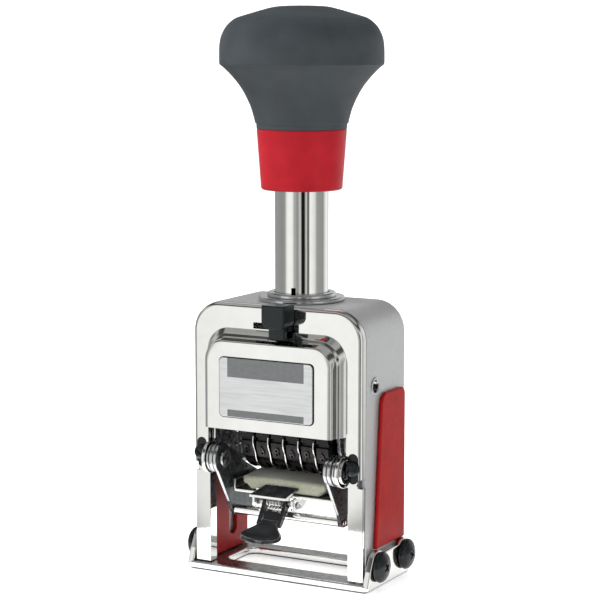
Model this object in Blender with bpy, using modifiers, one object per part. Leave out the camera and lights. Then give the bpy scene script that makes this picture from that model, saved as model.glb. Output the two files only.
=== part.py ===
"""A hand numbering machine: a plunger with six number wheels slides down in a sheet-metal body while the
ink pad swings out in front of it. Lengths are in metres. The origin is under the plunger's axis at the
bottom of the base, +X points to the machine's right as seen from its front, +Y to its back and +Z up."""

import math

import bmesh
import bpy
from mathutils import Matrix, Vector

# Clearances and fits
GAP = 0.0003
WELD = 0.000001
SCREW_MERGE = 0.00001
OVERRUN = 0.002

# Base frame
BASE_THICKNESS = 0.0024
BASE_FRONT_REACH = 0.0007
BASE_BACK_REACH = 0.0008
BASE_SIDE_INSET = 0.0005
SIDE_BAR = 0.0088
FRONT_BAR = 0.0080
REAR_BAR = 0.0058
WINDOW_RADIUS = 0.0030
EAR_THICKNESS = 0.0020
EAR_SINK = 0.0010
EAR_END_INSET = 0.0002
EAR_LOBE_RADIUS = 0.0049
EAR_TOE_HEIGHT = 0.0016
EAR_DIP = 0.0010

# Body shell
BODY_WIDTH = 0.0580
BODY_TOP = 0.0840
BODY_RADIUS = 0.0092
BODY_WALL = 0.0016
SIDE_HOLE_RADIUS = 0.00225
SIDE_HOLE_SETBACK = 0.0057
SIDE_HOLE_DROP = 0.0231

# Screws of the base, M4 with truss heads
BASE_SCREW_RADIUS = 0.0020
BASE_SCREW_HEAD_RADIUS = 0.0047
BASE_SCREW_HEAD_HEIGHT = 0.0026
BASE_SCREW_RISE = 0.0067
FRONT_SCREW_INSET = 0.0042
REAR_SCREW_INSET = 0.0042

# Front cover, one pressing with a bulge
COVER_THICKNESS = 0.0008
COVER_RIM_DEPTH = 0.0024
COVER_SIDE_INSET = 0.0002
COVER_BOTTOM_DROP = 0.0046
COVER_CORNER_RADIUS = 0.0026
COVER_SIDE_STRIP = 0.0051
BULGE_TOP_DROP = 0.0076
BULGE_RADIUS = 0.0075
BULGE_RADIUS_LOSS = 0.0022
BULGE_DEPTH = 0.0059
BULGE_TAPER = 0.0037
BULGE_TOP_TAPER = 0.0052
BULGE_PIVOT_RISE = 0.0104
BULGE_SECTION_SHARES = [(0.42, 0.30), (0.50, 0.46), (0.92, 0.62), (1.0, 1.0)]
SCREW_SLOT_HALF_WIDTH = 0.0017
SCREW_SLOT_HALF_HEIGHT = 0.0046
COVER_SCREW_INSET = 0.0028
COVER_SCREW_RISE = 0.0058
COVER_SCREW_RADIUS = 0.0010
COVER_SCREW_HEAD_RADIUS = 0.0022
COVER_SCREW_HEAD_HEIGHT = 0.0014
STOP_SLOT_LEFT = -0.0077
STOP_SLOT_RIGHT = 0.0062
STOP_SLOT_BOTTOM_RISE = 0.0003
STOP_SLOT_HEIGHT = 0.0019

# Name plate on the bulge
NAME_PLATE_SIDE_MARGIN = 0.0039
NAME_PLATE_RISE = 0.0037
NAME_PLATE_TOP_MARGIN = 0.0026
NAME_PLATE_THICKNESS = 0.0004
NAME_PLATE_RADIUS = 0.0015

# Rear cover
REAR_COVER_THICKNESS = 0.0010
REAR_COVER_RIM_DEPTH = 0.0015
REAR_COVER_ROUNDING = 0.0010

# Legs behind the front cover
LEG_THICKNESS = 0.0010
LEG_DEPTH = 0.0037
LEG_SIDE_INSET = 0.0003
LEG_TOP_DROP = 0.0024

# Side covers outside and liners inside the body
SIDE_COVER_THICKNESS = 0.0010
SIDE_COVER_BOTTOM = 0.0116
SIDE_COVER_TOP_DROP = 0.0257
SIDE_COVER_FRONT_INSET = 0.0045
SIDE_COVER_SLANT = 0.0038
SIDE_COVER_BACK_INSET = 0.0019
SIDE_COVER_RADIUS = 0.0024
LINER_THICKNESS = 0.0012
LINER_PAD_RISE = 0.0003
LINER_FRONT_GAP = 0.0004
LINER_BACK_INSET = 0.0004
LINER_STEP_INSET = 0.0022
LINER_STEP_SHARE = 0.42
LINER_SLOT_HALF_WIDTH = 0.0022
LINER_SLOT_MARGIN = 0.0046
LINER_SLOT_Y = 0.0022

# Neck bush and washer
TUBE_RADIUS = 0.00815
TUBE_WALL = 0.0010
BUSH_WALL = 0.0010
BUSH_FLANGE_RADIUS = 0.0132
BUSH_FLANGE_THICKNESS = 0.0010
BUSH_DEPTH = 0.0020
WASHER_RADIUS = 0.0105
WASHER_THICKNESS = 0.0010

# Handle: red collar and rubber grip
COLLAR_STOP_CLEARANCE = 0.0007
COLLAR_BOTTOM_RADIUS = 0.0123
COLLAR_TOP_RADIUS = 0.0136
COLLAR_HEIGHT = 0.0179
COLLAR_EDGE = 0.0005
GRIP_RADIUS = 0.02485
GRIP_HEIGHT = 0.0367
GRIP_BORE_DEPTH = 0.0130
GRIP_PROFILE_SHARES = [(0.303, 1.0), (0.52, 0.963), (0.713, 0.922), (0.842, 0.879), (0.928, 0.815),
                       (0.981, 0.734), (1.0, 0.63), (1.0, 0.535), (0.956, 0.505), (0.839, 0.426),
                       (0.75, 0.35), (0.655, 0.236), (0.594, 0.12), (0.562, 0.045), (0.548, 0.0)]

# Number wheels on their axle
WHEEL_COUNT = 6
DIGITS = 10
WHEEL_RADIUS = 0.0110
WHEEL_ROOT_DEPTH = 0.0009
WHEEL_PITCH = 0.0052
WHEEL_FRONT_CLEARANCE = 0.0018
WHEEL_REAR_CLEARANCE = 0.0007
DETENT_THICKNESS = 0.0004
AXLE_RADIUS = 0.0020
AXLE_Y = -0.0008
TYPE_BLOCK_SHARE = 0.78
PRINT_GAP = 0.0003

# Ink arm and its pad
PAD_TOP = 0.0303
PAD_THICKNESS = 0.0042
PAD_END_MARGIN = 0.0032
PAD_FRONT_REACH = 0.0108
PAD_BACK_REACH = 0.0082
PAD_CHAMFER = 0.0026
TRAY_THICKNESS = 0.0009
TRAY_END_GAP = 0.0007
TRAY_WALL_HEIGHT = 0.0040
TRAY_OVERHANG = 0.0004
ARM_PIVOT_REACH = 0.0001
ARM_PIVOT_RISE = 0.0057
ARM_BOSS_LENGTH = 0.0027
ARM_THICKNESS = 0.0012
ARM_END_RADIUS = 0.0046
ARM_ROD_RADIUS = 0.0015
ARM_ROD_TENON_RADIUS = 0.0008
ARM_ROD_SETBACK = 0.0072
ARM_ROD_DROP = 0.0063
ARM_FOOT_INSET = 0.0010
ARM_FOOT_MARGIN = 0.0022
ARM_TOP_SHARE = 0.55
ARM_KNEE_SHARE = 0.5
PIVOT_RADIUS = 0.0015
PIVOT_HEAD_RADIUS = 0.00265
PIVOT_HEAD_HEIGHT = 0.0008
BOSS_RADIUS = 0.0035
PIVOT_EAR_THICKNESS = 0.0012
PIVOT_EAR_RADIUS = 0.0049
PIVOT_EAR_STRIP = 0.0030

# Lever that unlocks the pad
LEVER_X = -0.0030
LEVER_PIVOT_LEAD = 0.0014
LEVER_DROP = 0.0023
LEVER_PIN_RADIUS = 0.0008
BRACKET_HALF_WIDTH = 0.0072
BRACKET_THICKNESS = 0.0010
BRACKET_NOSE = 0.0026
BRACKET_DROP = 0.0021
BRACKET_WEB_SETBACK = 0.0028
BRACKET_DEPTH = 0.0150
CHEEK_SPAN = 0.0042
CHEEK_THICKNESS = 0.0012
CHEEK_RADIUS = 0.0016
CHEEK_NECK = 0.0009
TAB_NECK_DROP = 0.0050
TAB_NECK_REACH = 0.0038
TAB_LENGTH = 0.0090
TAB_HALF_WIDTH = 0.00665
TAB_THICKNESS = 0.0012
TAB_SLOPE = math.radians(39)
TAB_WIDTH_SHARES = [(0, 0.63), (0.18, 0.63), (0.42, 0.81), (0.72, 1.0), (0.88, 0.96), (1.0, 0.75)]
TAB_OVERLAP = 0.0012
SPRING_COIL_RADIUS = 0.0017
SPRING_WIRE_RADIUS = 0.0003
SPRING_TURNS = 5
SPRING_PITCH = 0.00104
SPRING_LEG = 0.0018

# Carriage inside the body
YOKE_DROP = 0.0020
YOKE_THICKNESS = 0.0022
YOKE_FRONT_CLEARANCE = 0.0031
YOKE_BACK_CLEARANCE = 0.0016
YOKE_EAR_HALF_WIDTH = 0.0028
YOKE_EAR_REACH_SHARE = 0.66
CARRIAGE_END_GAP = 0.0004
CARRIAGE_THICKNESS = 0.0012
CARRIAGE_END_RADIUS = 0.0065
CARRIAGE_FRONT_MARGIN = 0.0015
CARRIAGE_BACK_MARGIN = 0.0027
CARRIAGE_SHOULDER_DROP = 0.0050
SHAFT_RADIUS = 0.0010
DETENT_SHAFT_REACH = 0.0160
DETENT_SHAFT_ANGLE = math.radians(118)
DETENT_WIDTH = 0.0020
DETENT_REACH = 0.0002
DETENT_HUB_RADIUS = 0.0022
DETENT_START = math.radians(135)
DETENT_END = math.radians(225)
PAWL_SHAFT_SETBACK = 0.0073
PAWL_SHAFT_RISE = 0.0153
PAWL_HUB_RADIUS = 0.0021
PAWL_TIP_RADIUS = 0.0008
PAWL_TIP_ANGLE = math.radians(46)
PAWL_TIP_GAP = 0.0004
PAWL_SLOT = 0.0018
PAWL_END_GAP = 0.0007

# Guide rods and return springs
ROD_Y = 0.0020
ROD_RADIUS = 0.00125
SEAT_HEIGHT = 0.0014
SEAT_LINER_RISE = 0.0010
SEAT_HALF_DEPTH = 0.0038
SEAT_REACH = 0.0022
SEAT_FLANGE_THICKNESS = 0.0010
SEAT_FLANGE_HEIGHT = 0.0090
RETURN_WIRE_RADIUS = 0.0004
RETURN_COIL_RADIUS = 0.0021
RETURN_TURNS = 9

# Stop slider in the front cover's slot
STOP_HEAD_LEFT = -0.0010
STOP_HEAD_WIDTH = 0.0076
STOP_HEAD_DEPTH = 0.0071
STOP_HEAD_TOP = 0.0850
STOP_HEAD_HEIGHT = 0.0072
STOP_NECK_INSET = 0.0008
STOP_FOOT_HEIGHT = 0.0046
STOP_FOOT_DEPTH = 0.0022
STOP_PLATE_MARGIN = 0.0016
STOP_PLATE_THICKNESS = 0.0008
STOP_ROUNDING = 0.0012

# Selector at the back
SELECTOR_DROP = 0.0220
DIAL_RADIUS = 0.0085
DIAL_THICKNESS = 0.0008
SPINDLE_RADIUS = 0.0012
SPINDLE_INNER_GAP = 0.0006
SELECTOR_HUB_RADIUS = 0.0032
SELECTOR_POINTER = 0.0090
SELECTOR_TIP_RADIUS = 0.0012
SELECTOR_THICKNESS = 0.0022

# Numbers of straight steps in a full turn
FINE_STEPS = 36
ROUND_STEPS = 16
SMALL_STEPS = 12
COIL_STEPS = 8

# Places worked out from the sizes above: the wheels and the pad first, then the body round them
PACK_HALF = WHEEL_PITCH * WHEEL_COUNT / 2
WHEEL_WIDTH = WHEEL_PITCH - DETENT_THICKNESS - 2 * GAP
AXLE_Z = PAD_TOP + GAP + WHEEL_RADIUS + GAP / 3
STROKE = AXLE_Z - WHEEL_RADIUS - PRINT_GAP
PAD_FRONT = AXLE_Y - PAD_FRONT_REACH
PAD_BACK = AXLE_Y + PAD_BACK_REACH
PAD_BOTTOM = PAD_TOP - PAD_THICKNESS
TRAY_TOP = PAD_BOTTOM - GAP
TRAY_BOTTOM = TRAY_TOP - TRAY_THICKNESS
ARM_PIVOT_Z = PAD_TOP + ARM_PIVOT_RISE
ARM_ROD_Z = TRAY_BOTTOM - ARM_ROD_DROP
ARM_FOOT_BACK = PAD_BACK - ARM_FOOT_INSET
LEVER_PIVOT_Z = TRAY_BOTTOM - LEVER_DROP
BODY_HALF = BODY_WIDTH / 2
BODY_INSIDE = BODY_HALF - BODY_WALL
BODY_BOTTOM = BASE_THICKNESS + GAP
BODY_FRONT = AXLE_Y - WHEEL_RADIUS - WHEEL_FRONT_CLEARANCE
REAR_INSIDE = AXLE_Y + WHEEL_RADIUS + WHEEL_REAR_CLEARANCE
REAR_FACE = REAR_INSIDE + REAR_COVER_THICKNESS
BODY_BACK = REAR_FACE + GAP
FRONT_SCREW_Y = BODY_FRONT + FRONT_SCREW_INSET
REAR_SCREW_Y = BODY_BACK - REAR_SCREW_INSET
COVER_FRONT = BODY_FRONT - GAP - COVER_RIM_DEPTH
COVER_BACK = COVER_FRONT + COVER_THICKNESS
COVER_HALF = BODY_HALF - COVER_SIDE_INSET
COVER_TOP = BODY_TOP - COVER_SIDE_INSET
COVER_BOTTOM = ARM_PIVOT_Z - COVER_BOTTOM_DROP
COVER_SCREW_X = COVER_HALF - COVER_SCREW_INSET
COVER_SCREW_Z = COVER_BOTTOM + COVER_SCREW_RISE
BULGE_HALF_WIDTH = COVER_HALF - COVER_SIDE_STRIP
BULGE_BOTTOM = ARM_PIVOT_Z + BULGE_PIVOT_RISE
BULGE_TOP = BODY_TOP - BULGE_TOP_DROP
BULGE_FRONT = COVER_FRONT - BULGE_DEPTH
NAME_PLATE_HALF_WIDTH = BULGE_HALF_WIDTH - BULGE_TAPER - NAME_PLATE_SIDE_MARGIN
NAME_PLATE_BOTTOM = BULGE_BOTTOM + NAME_PLATE_RISE
NAME_PLATE_TOP = BULGE_TOP - BULGE_TOP_TAPER - NAME_PLATE_TOP_MARGIN
EAR_INNER = BODY_HALF + GAP
EAR_OUTER = EAR_INNER + EAR_THICKNESS
BASE_FRONT = COVER_FRONT - BASE_FRONT_REACH
BASE_BACK = BODY_BACK + BASE_BACK_REACH
BASE_HALF_WIDTH = EAR_OUTER - BASE_SIDE_INSET
WINDOW_HALF_WIDTH = BASE_HALF_WIDTH - SIDE_BAR
WINDOW_FRONT = BASE_FRONT + FRONT_BAR
WINDOW_BACK = BASE_BACK - REAR_BAR
LEG_FRONT = COVER_BACK + GAP
LEG_INNER = BULGE_HALF_WIDTH
LEG_TOP = BULGE_BOTTOM - LEG_TOP_DROP
EAR_PLATE_OUTER = LEG_INNER - GAP
EAR_PLATE_INNER = EAR_PLATE_OUTER - PIVOT_EAR_THICKNESS
ARM_PIVOT_Y = COVER_FRONT - ARM_PIVOT_REACH
ARM_ROD_Y = ARM_PIVOT_Y + ARM_ROD_SETBACK
ARM_HALF_SPAN = EAR_PLATE_INNER - ARM_BOSS_LENGTH
ARM_INSIDE = ARM_HALF_SPAN - ARM_THICKNESS
TRAY_HALF_WIDTH = ARM_INSIDE - TRAY_END_GAP
PAD_HALF_WIDTH = TRAY_HALF_WIDTH - PAD_END_MARGIN
LEVER_PIVOT_Y = ARM_ROD_Y - LEVER_PIVOT_LEAD
SIDE_COVER_TOP = BODY_TOP - SIDE_COVER_TOP_DROP
LINER_TOP = PAD_TOP + LINER_PAD_RISE
REAR_COVER_BOTTOM = LINER_TOP + GAP
SELECTOR_Z = BODY_TOP - SELECTOR_DROP
DIAL_FACE = BODY_BACK + DIAL_THICKNESS
BUSH_TOP = BODY_TOP + GAP + BUSH_FLANGE_THICKNESS
BUSH_BOTTOM = BODY_TOP - BODY_WALL - BUSH_DEPTH
BORE_RADIUS = TUBE_RADIUS + GAP
WASHER_TOP = BUSH_TOP + GAP + WASHER_THICKNESS
COLLAR_BOTTOM = WASHER_TOP + STROKE + COLLAR_STOP_CLEARANCE
COLLAR_TOP = COLLAR_BOTTOM + COLLAR_HEIGHT
GRIP_BOTTOM = COLLAR_TOP + GAP
GRIP_TOP = GRIP_BOTTOM + GRIP_HEIGHT
TUBE_TOP = GRIP_BOTTOM + GRIP_BORE_DEPTH - GAP
YOKE_TOP = BUSH_BOTTOM - YOKE_DROP
YOKE_BOTTOM = YOKE_TOP - YOKE_THICKNESS
YOKE_FRONT = BODY_FRONT + YOKE_FRONT_CLEARANCE
YOKE_BACK = REAR_INSIDE - YOKE_BACK_CLEARANCE
PAWL_SHAFT_Y = AXLE_Y + PAWL_SHAFT_SETBACK
PAWL_SHAFT_Z = AXLE_Z + PAWL_SHAFT_RISE
DETENT_SHAFT_Y = AXLE_Y + DETENT_SHAFT_REACH * math.cos(DETENT_SHAFT_ANGLE)
DETENT_SHAFT_Z = AXLE_Z + DETENT_SHAFT_REACH * math.sin(DETENT_SHAFT_ANGLE)
CARRIAGE_TOP = YOKE_BOTTOM - GAP
CARRIAGE_INSIDE = PACK_HALF + CARRIAGE_END_GAP
CARRIAGE_HALF_WIDTH = CARRIAGE_INSIDE + CARRIAGE_THICKNESS
CARRIAGE_FRONT = DETENT_SHAFT_Y - CARRIAGE_FRONT_MARGIN
CARRIAGE_BACK = PAWL_SHAFT_Y + CARRIAGE_BACK_MARGIN
CARRIAGE_SHOULDER = PAWL_SHAFT_Z - CARRIAGE_SHOULDER_DROP
ROD_X = (CARRIAGE_HALF_WIDTH + BODY_INSIDE) / 2
SEAT_BOTTOM = LINER_TOP + SEAT_LINER_RISE
SEAT_TOP = SEAT_BOTTOM + SEAT_HEIGHT
STOP_SLOT_BOTTOM = BULGE_TOP + STOP_SLOT_BOTTOM_RISE
STOP_SLOT_TOP = STOP_SLOT_BOTTOM + STOP_SLOT_HEIGHT

# Colour, roughness and metallic value of each finish
FINISHES = {
    "rubber": ((0.045, 0.052, 0.060), 0.75, 0.0),
    "red_plastic": ((0.42, 0.022, 0.026), 0.38, 0.0),
    "silver_paint": ((0.40, 0.41, 0.42), 0.45, 0.6),
    "chrome": ((0.80, 0.80, 0.78), 0.10, 1.0),
    "satin_steel": ((0.48, 0.49, 0.50), 0.32, 1.0),
    "aluminium": ((0.62, 0.63, 0.65), 0.40, 1.0),
    "black_steel": ((0.018, 0.018, 0.020), 0.40, 0.5),
    "gunmetal": ((0.10, 0.11, 0.12), 0.35, 0.9),
    "felt": ((0.34, 0.32, 0.24), 0.95, 0.0),
}

PLANES = {
    "front": (math.pi / 2, 0, 0),
    "side": (math.pi / 2, 0, math.pi / 2),
    "top": (0, 0, 0),
}
AXES = {
    "X": Matrix.Rotation(math.pi / 2, 4, "Y"),
    "Y": Matrix.Rotation(-math.pi / 2, 4, "X"),
    "Z": Matrix.Identity(4),
}
SIDES = {"left": -1, "right": 1}


def clear_scene():
    """Starts from nothing, with one collection for the parts and one for the cutters."""
    for obj in list(bpy.data.objects):
        bpy.data.objects.remove(obj, do_unlink=True)
    parts = bpy.data.collections.new("numbering_machine")
    cutters = bpy.data.collections.new("cutters")
    for collection in (parts, cutters):
        bpy.context.scene.collection.children.link(collection)
    return parts, cutters


def place_object(name, data, finish):
    """Links a new object, with a material of its own where it has a finish."""
    obj = bpy.data.objects.new(name, data)
    PARTS.objects.link(obj)
    if finish:
        colour, roughness, metallic = FINISHES[finish]
        material = bpy.data.materials.new(name)
        material.use_nodes = True
        shader = material.node_tree.nodes["Principled BSDF"]
        shader.inputs["Base Color"].default_value = (*colour, 1)
        shader.inputs["Roughness"].default_value = roughness
        shader.inputs["Metallic"].default_value = metallic
        data.materials.append(material)
    return obj


def evaluated_mesh(obj):
    """A copy of the object's final mesh, in world space and welded."""
    bpy.context.view_layer.update()
    graph = bpy.context.evaluated_depsgraph_get()
    mesh = bpy.data.meshes.new_from_object(obj.evaluated_get(graph))
    shape = bmesh.new()
    shape.from_mesh(mesh)
    bmesh.ops.remove_doubles(shape, verts=shape.verts, dist=WELD)
    shape.transform(obj.matrix_world)
    shape.to_mesh(mesh)
    shape.free()
    return mesh


def as_mesh(obj):
    """The same piece as a plain mesh, so that it can be cut, joined or copied."""
    mesh = evaluated_mesh(obj)
    name = obj.name
    bpy.data.objects.remove(obj, do_unlink=True)
    return place_object(name, mesh, None)


def copies(obj, matrices):
    """One object made of a copy of the piece at each matrix."""
    source = as_mesh(obj)
    shape = bmesh.new()
    for matrix in matrices:
        start = len(shape.verts)
        shape.from_mesh(source.data)
        shape.verts.ensure_lookup_table()
        bmesh.ops.transform(shape, matrix=matrix, verts=shape.verts[start:])
    shape.to_mesh(source.data)
    shape.free()
    return source


def apply_boolean(obj, other, operation):
    """Cuts the other object from this one, or joins it to this one, and hides it."""
    PARTS.objects.unlink(other)
    CUTTERS.objects.link(other)
    other.hide_render = True
    other.display_type = "WIRE"
    modifier = obj.modifiers.new(operation.lower() + "_" + other.name, "BOOLEAN")
    modifier.operation = operation
    modifier.object = other
    modifier.solver = "EXACT"
    return obj


def cut(obj, *cutters):
    for cutter in cutters:
        apply_boolean(obj, cutter, "DIFFERENCE")
    return obj


def join(obj, *others):
    for other in others:
        apply_boolean(obj, other, "UNION")
    return obj


def box(name, low, high, finish=None):
    """A box between two corners."""
    shape = bmesh.new()
    bmesh.ops.create_cube(shape, size=1)
    low, high = Vector(low), Vector(high)
    shape.transform(Matrix.Translation((low + high) / 2) @ Matrix.Diagonal((*(high - low), 1)))
    mesh = bpy.data.meshes.new(name)
    shape.to_mesh(mesh)
    shape.free()
    return place_object(name, mesh, finish)


def rod(name, axis, radius, start, end, centre, finish=None, steps=SMALL_STEPS):
    """A round bar along an axis, from start to end, through a centre given by its other two coordinates."""
    shape = bmesh.new()
    bmesh.ops.create_cone(shape, cap_ends=True, segments=steps, radius1=radius, radius2=radius,
                          depth=end - start)
    middle = list(centre)
    middle.insert("XYZ".index(axis), (start + end) / 2)
    shape.transform(Matrix.Translation(middle) @ AXES[axis])
    mesh = bpy.data.meshes.new(name)
    shape.to_mesh(mesh)
    shape.free()
    obj = place_object(name, mesh, finish)
    mesh.shade_smooth()
    mesh.set_sharp_from_angle(angle=math.pi / 4)
    return obj


def turned(name, profile, finish=None, closed=False, steps=FINE_STEPS):
    """A turned piece about Z. Its profile of radii and heights runs down the outer side, and up a bore if
    closed."""
    mesh = bpy.data.meshes.new(name)
    count = len(profile)
    edges = [(i, i + 1) for i in range(count - 1)]
    if closed:
        edges.append((count - 1, 0))
    mesh.from_pydata([(radius, 0, height) for radius, height in profile], edges, [])
    obj = place_object(name, mesh, finish)
    screw = obj.modifiers.new("turn", "SCREW")
    screw.axis = "Z"
    screw.angle = 2 * math.pi
    screw.steps = steps
    screw.render_steps = steps
    screw.use_merge_vertices = True
    screw.merge_threshold = SCREW_MERGE
    screw.use_smooth_shade = True
    return obj


def sheet(name, outlines, plane, low, high, finish=None):
    """A flat piece: its outline and holes lie in the plane, and it stands from low to high along the third
    axis."""
    curve = bpy.data.curves.new(name, "CURVE")
    curve.dimensions = "2D"
    curve.fill_mode = "BOTH"
    curve.extrude = (high - low) / 2
    for points in outlines:
        spline = curve.splines.new("POLY")
        spline.points.add(len(points) - 1)
        for point, (u, v) in zip(spline.points, points):
            point.co = (u, v, 0, 1)
        spline.use_cyclic_u = True
    obj = place_object(name, curve, finish)
    obj.rotation_euler = PLANES[plane]
    obj.location["side front top".split().index(plane)] = (low + high) / 2
    return obj


def wire(name, points, radius, finish):
    """A round wire along its points."""
    curve = bpy.data.curves.new(name, "CURVE")
    curve.dimensions = "3D"
    curve.bevel_depth = radius
    curve.bevel_resolution = 1
    curve.use_fill_caps = True
    spline = curve.splines.new("POLY")
    spline.points.add(len(points) - 1)
    for point, place in zip(spline.points, points):
        point.co = (*place, 1)
    return place_object(name, curve, finish)


def pressed(name, rings, thickness, finish):
    """A pressed sheet. Its rings of points run from the rim to the face, which closes the last ring. A
    shorter ring meets the middle of a longer one, whose ends are left as legs."""
    shape = bmesh.new()
    rows = [[shape.verts.new(point) for point in ring] for ring in rings]
    for outer, inner in zip(rows, rows[1:]):
        spare = (len(outer) - len(inner)) // 2
        outer = outer[spare:len(outer) - spare] if spare > 0 else outer
        inner = inner[-spare:len(inner) + spare] if spare < 0 else inner
        for i in range(len(inner) - 1):
            shape.faces.new((outer[i], inner[i], inner[i + 1], outer[i + 1]))
    shape.faces.new(list(reversed(rows[-1])))
    mesh = bpy.data.meshes.new(name)
    shape.to_mesh(mesh)
    shape.free()
    obj = place_object(name, mesh, finish)
    wall = obj.modifiers.new("wall", "SOLIDIFY")
    wall.thickness = thickness
    wall.offset = -1
    wall.use_even_offset = True
    wall.use_quality_normals = True
    return obj


def arc(u, v, radius, start, end, steps):
    """Points on an arc from one angle to another, ends included."""
    angles = [start + (end - start) * i / steps for i in range(steps + 1)]
    return [(u + radius * math.cos(angle), v + radius * math.sin(angle)) for angle in angles]


def circle(u, v, radius, steps=ROUND_STEPS):
    return arc(u, v, radius, 0, 2 * math.pi, steps)[:-1]


def rounded_box(low_u, low_v, high_u, high_v, radius, steps=4):
    """The outline of a rectangle with round corners."""
    quarter = math.pi / 2
    return (arc(high_u - radius, high_v - radius, radius, 0, quarter, steps)
            + arc(low_u + radius, high_v - radius, radius, quarter, 2 * quarter, steps)
            + arc(low_u + radius, low_v + radius, radius, 2 * quarter, 3 * quarter, steps)
            + arc(high_u - radius, low_v + radius, radius, 3 * quarter, 4 * quarter, steps))


def arch(half_width, bottom, top, radius, steps=6):
    """An open arch with round upper corners, from its lower left end to its lower right end."""
    quarter = math.pi / 2
    return ([(-half_width, bottom)]
            + arc(radius - half_width, top - radius, radius, 2 * quarter, quarter, steps)
            + arc(half_width - radius, top - radius, radius, quarter, 0, steps)
            + [(half_width, bottom)])


def ribbon(points, half_widths, steps=6):
    """The outline of a strip along its points, with its own half width at each and round ends."""
    places = [Vector(point) for point in points]
    headings = [(b - a).normalized() for a, b in zip(places, places[1:])]
    headings = [headings[0]] + [(a + b).normalized() for a, b in zip(headings, headings[1:])] + [headings[-1]]
    turns = [math.atan2(heading.y, heading.x) for heading in headings]
    quarter = math.pi / 2
    left = [(p.x - w * math.sin(t), p.y + w * math.cos(t)) for p, w, t in zip(places, half_widths, turns)]
    right = [(p.x + w * math.sin(t), p.y - w * math.cos(t)) for p, w, t in zip(places, half_widths, turns)]
    end = arc(*places[-1], half_widths[-1], turns[-1] - quarter, turns[-1] + quarter, steps)
    start = arc(*places[0], half_widths[0], turns[0] + quarter, turns[0] + 3 * quarter, steps)
    return right[1:-1] + end + list(reversed(left[1:-1])) + start


def mirrored(outline):
    return [(-u, v) for u, v in outline]


def span(side, inner, outer):
    """The low and high X of a piece that stands between two distances from the middle, on either side."""
    return sorted((SIDES[side] * inner, SIDES[side] * outer))


def make_base():
    """The base plate with its print window, two upturned ears and the four screws through them."""
    window = rounded_box(-WINDOW_HALF_WIDTH, WINDOW_FRONT, WINDOW_HALF_WIDTH, WINDOW_BACK, WINDOW_RADIUS)
    outline = rounded_box(-BASE_HALF_WIDTH, BASE_FRONT, BASE_HALF_WIDTH, BASE_BACK, WINDOW_RADIUS / 2)
    base = as_mesh(sheet("base_frame", [outline, window], "top", 0, BASE_THICKNESS, "chrome"))
    front, back = BASE_FRONT + EAR_END_INSET, BASE_BACK - EAR_END_INSET
    lobe_top = BASE_SCREW_RISE + EAR_LOBE_RADIUS
    ear = ([(front, EAR_SINK), (front, EAR_TOE_HEIGHT)]
           + arc(FRONT_SCREW_Y, BASE_SCREW_RISE, EAR_LOBE_RADIUS, 3 * math.pi / 4, math.pi / 4, 6)
           + [((FRONT_SCREW_Y + REAR_SCREW_Y) / 2, lobe_top - EAR_DIP)]
           + arc(REAR_SCREW_Y, BASE_SCREW_RISE, EAR_LOBE_RADIUS, 3 * math.pi / 4, math.pi / 4, 6)
           + [(back, BASE_SCREW_RISE), (back, EAR_SINK)])
    holes = [circle(y, BASE_SCREW_RISE, BASE_SCREW_RADIUS + GAP) for y in (FRONT_SCREW_Y, REAR_SCREW_Y)]
    for side in SIDES:
        low, high = span(side, EAR_INNER, EAR_OUTER)
        join(base, as_mesh(sheet(side + "_ear", [ear] + holes, "side", low, high)))
    head = BASE_SCREW_HEAD_HEIGHT
    dome = [(BASE_SCREW_HEAD_RADIUS * math.sin(angle), head * math.cos(angle))
            for angle in [math.pi / 2 * i / 5 for i in range(1, 6)]]
    shank = EAR_THICKNESS + BODY_WALL + 3 * GAP
    profile = [(0, head)] + dome + [(BASE_SCREW_RADIUS, 0), (BASE_SCREW_RADIUS, -shank), (0, -shank)]
    for side, sign in SIDES.items():
        for row, y in (("front", FRONT_SCREW_Y), ("rear", REAR_SCREW_Y)):
            screw = turned("_".join((row, side, "base_screw")), profile, "black_steel", steps=ROUND_STEPS)
            place = Matrix.Translation((sign * (EAR_OUTER + GAP), y, BASE_SCREW_RISE))
            screw.matrix_world = place @ Matrix.Rotation(sign * math.pi / 2, 4, "Y")


def make_body_shell():
    """The body: one strip bent over the top, with the holes for the bush, the screws and the side eyelets."""
    outer = arch(BODY_HALF, BODY_BOTTOM, BODY_TOP, BODY_RADIUS)
    inner = arch(BODY_INSIDE, BODY_BOTTOM, BODY_TOP - BODY_WALL, BODY_RADIUS - BODY_WALL)
    strip = [outer + list(reversed(inner))]
    shell = as_mesh(sheet("body_shell", strip, "front", BODY_FRONT, BODY_BACK, "silver_paint"))
    reach = BODY_HALF + OVERRUN
    bush_hole = rod("bush_hole", "Z", BORE_RADIUS + BUSH_WALL + GAP, BUSH_BOTTOM, BODY_TOP + OVERRUN, (0, 0),
                    steps=FINE_STEPS)
    eyelet = (BODY_FRONT + SIDE_HOLE_SETBACK, BODY_TOP - SIDE_HOLE_DROP)
    side_holes = rod("side_holes", "X", SIDE_HOLE_RADIUS, -reach, reach, eyelet, steps=ROUND_STEPS)
    cut(shell, bush_hole, side_holes)
    for name, y in (("front_screw_holes", FRONT_SCREW_Y), ("rear_screw_holes", REAR_SCREW_Y)):
        hole = (y, BASE_SCREW_RISE)
        cut(shell, rod(name, "X", BASE_SCREW_RADIUS + GAP, -reach, reach, hole, steps=ROUND_STEPS))


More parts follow.
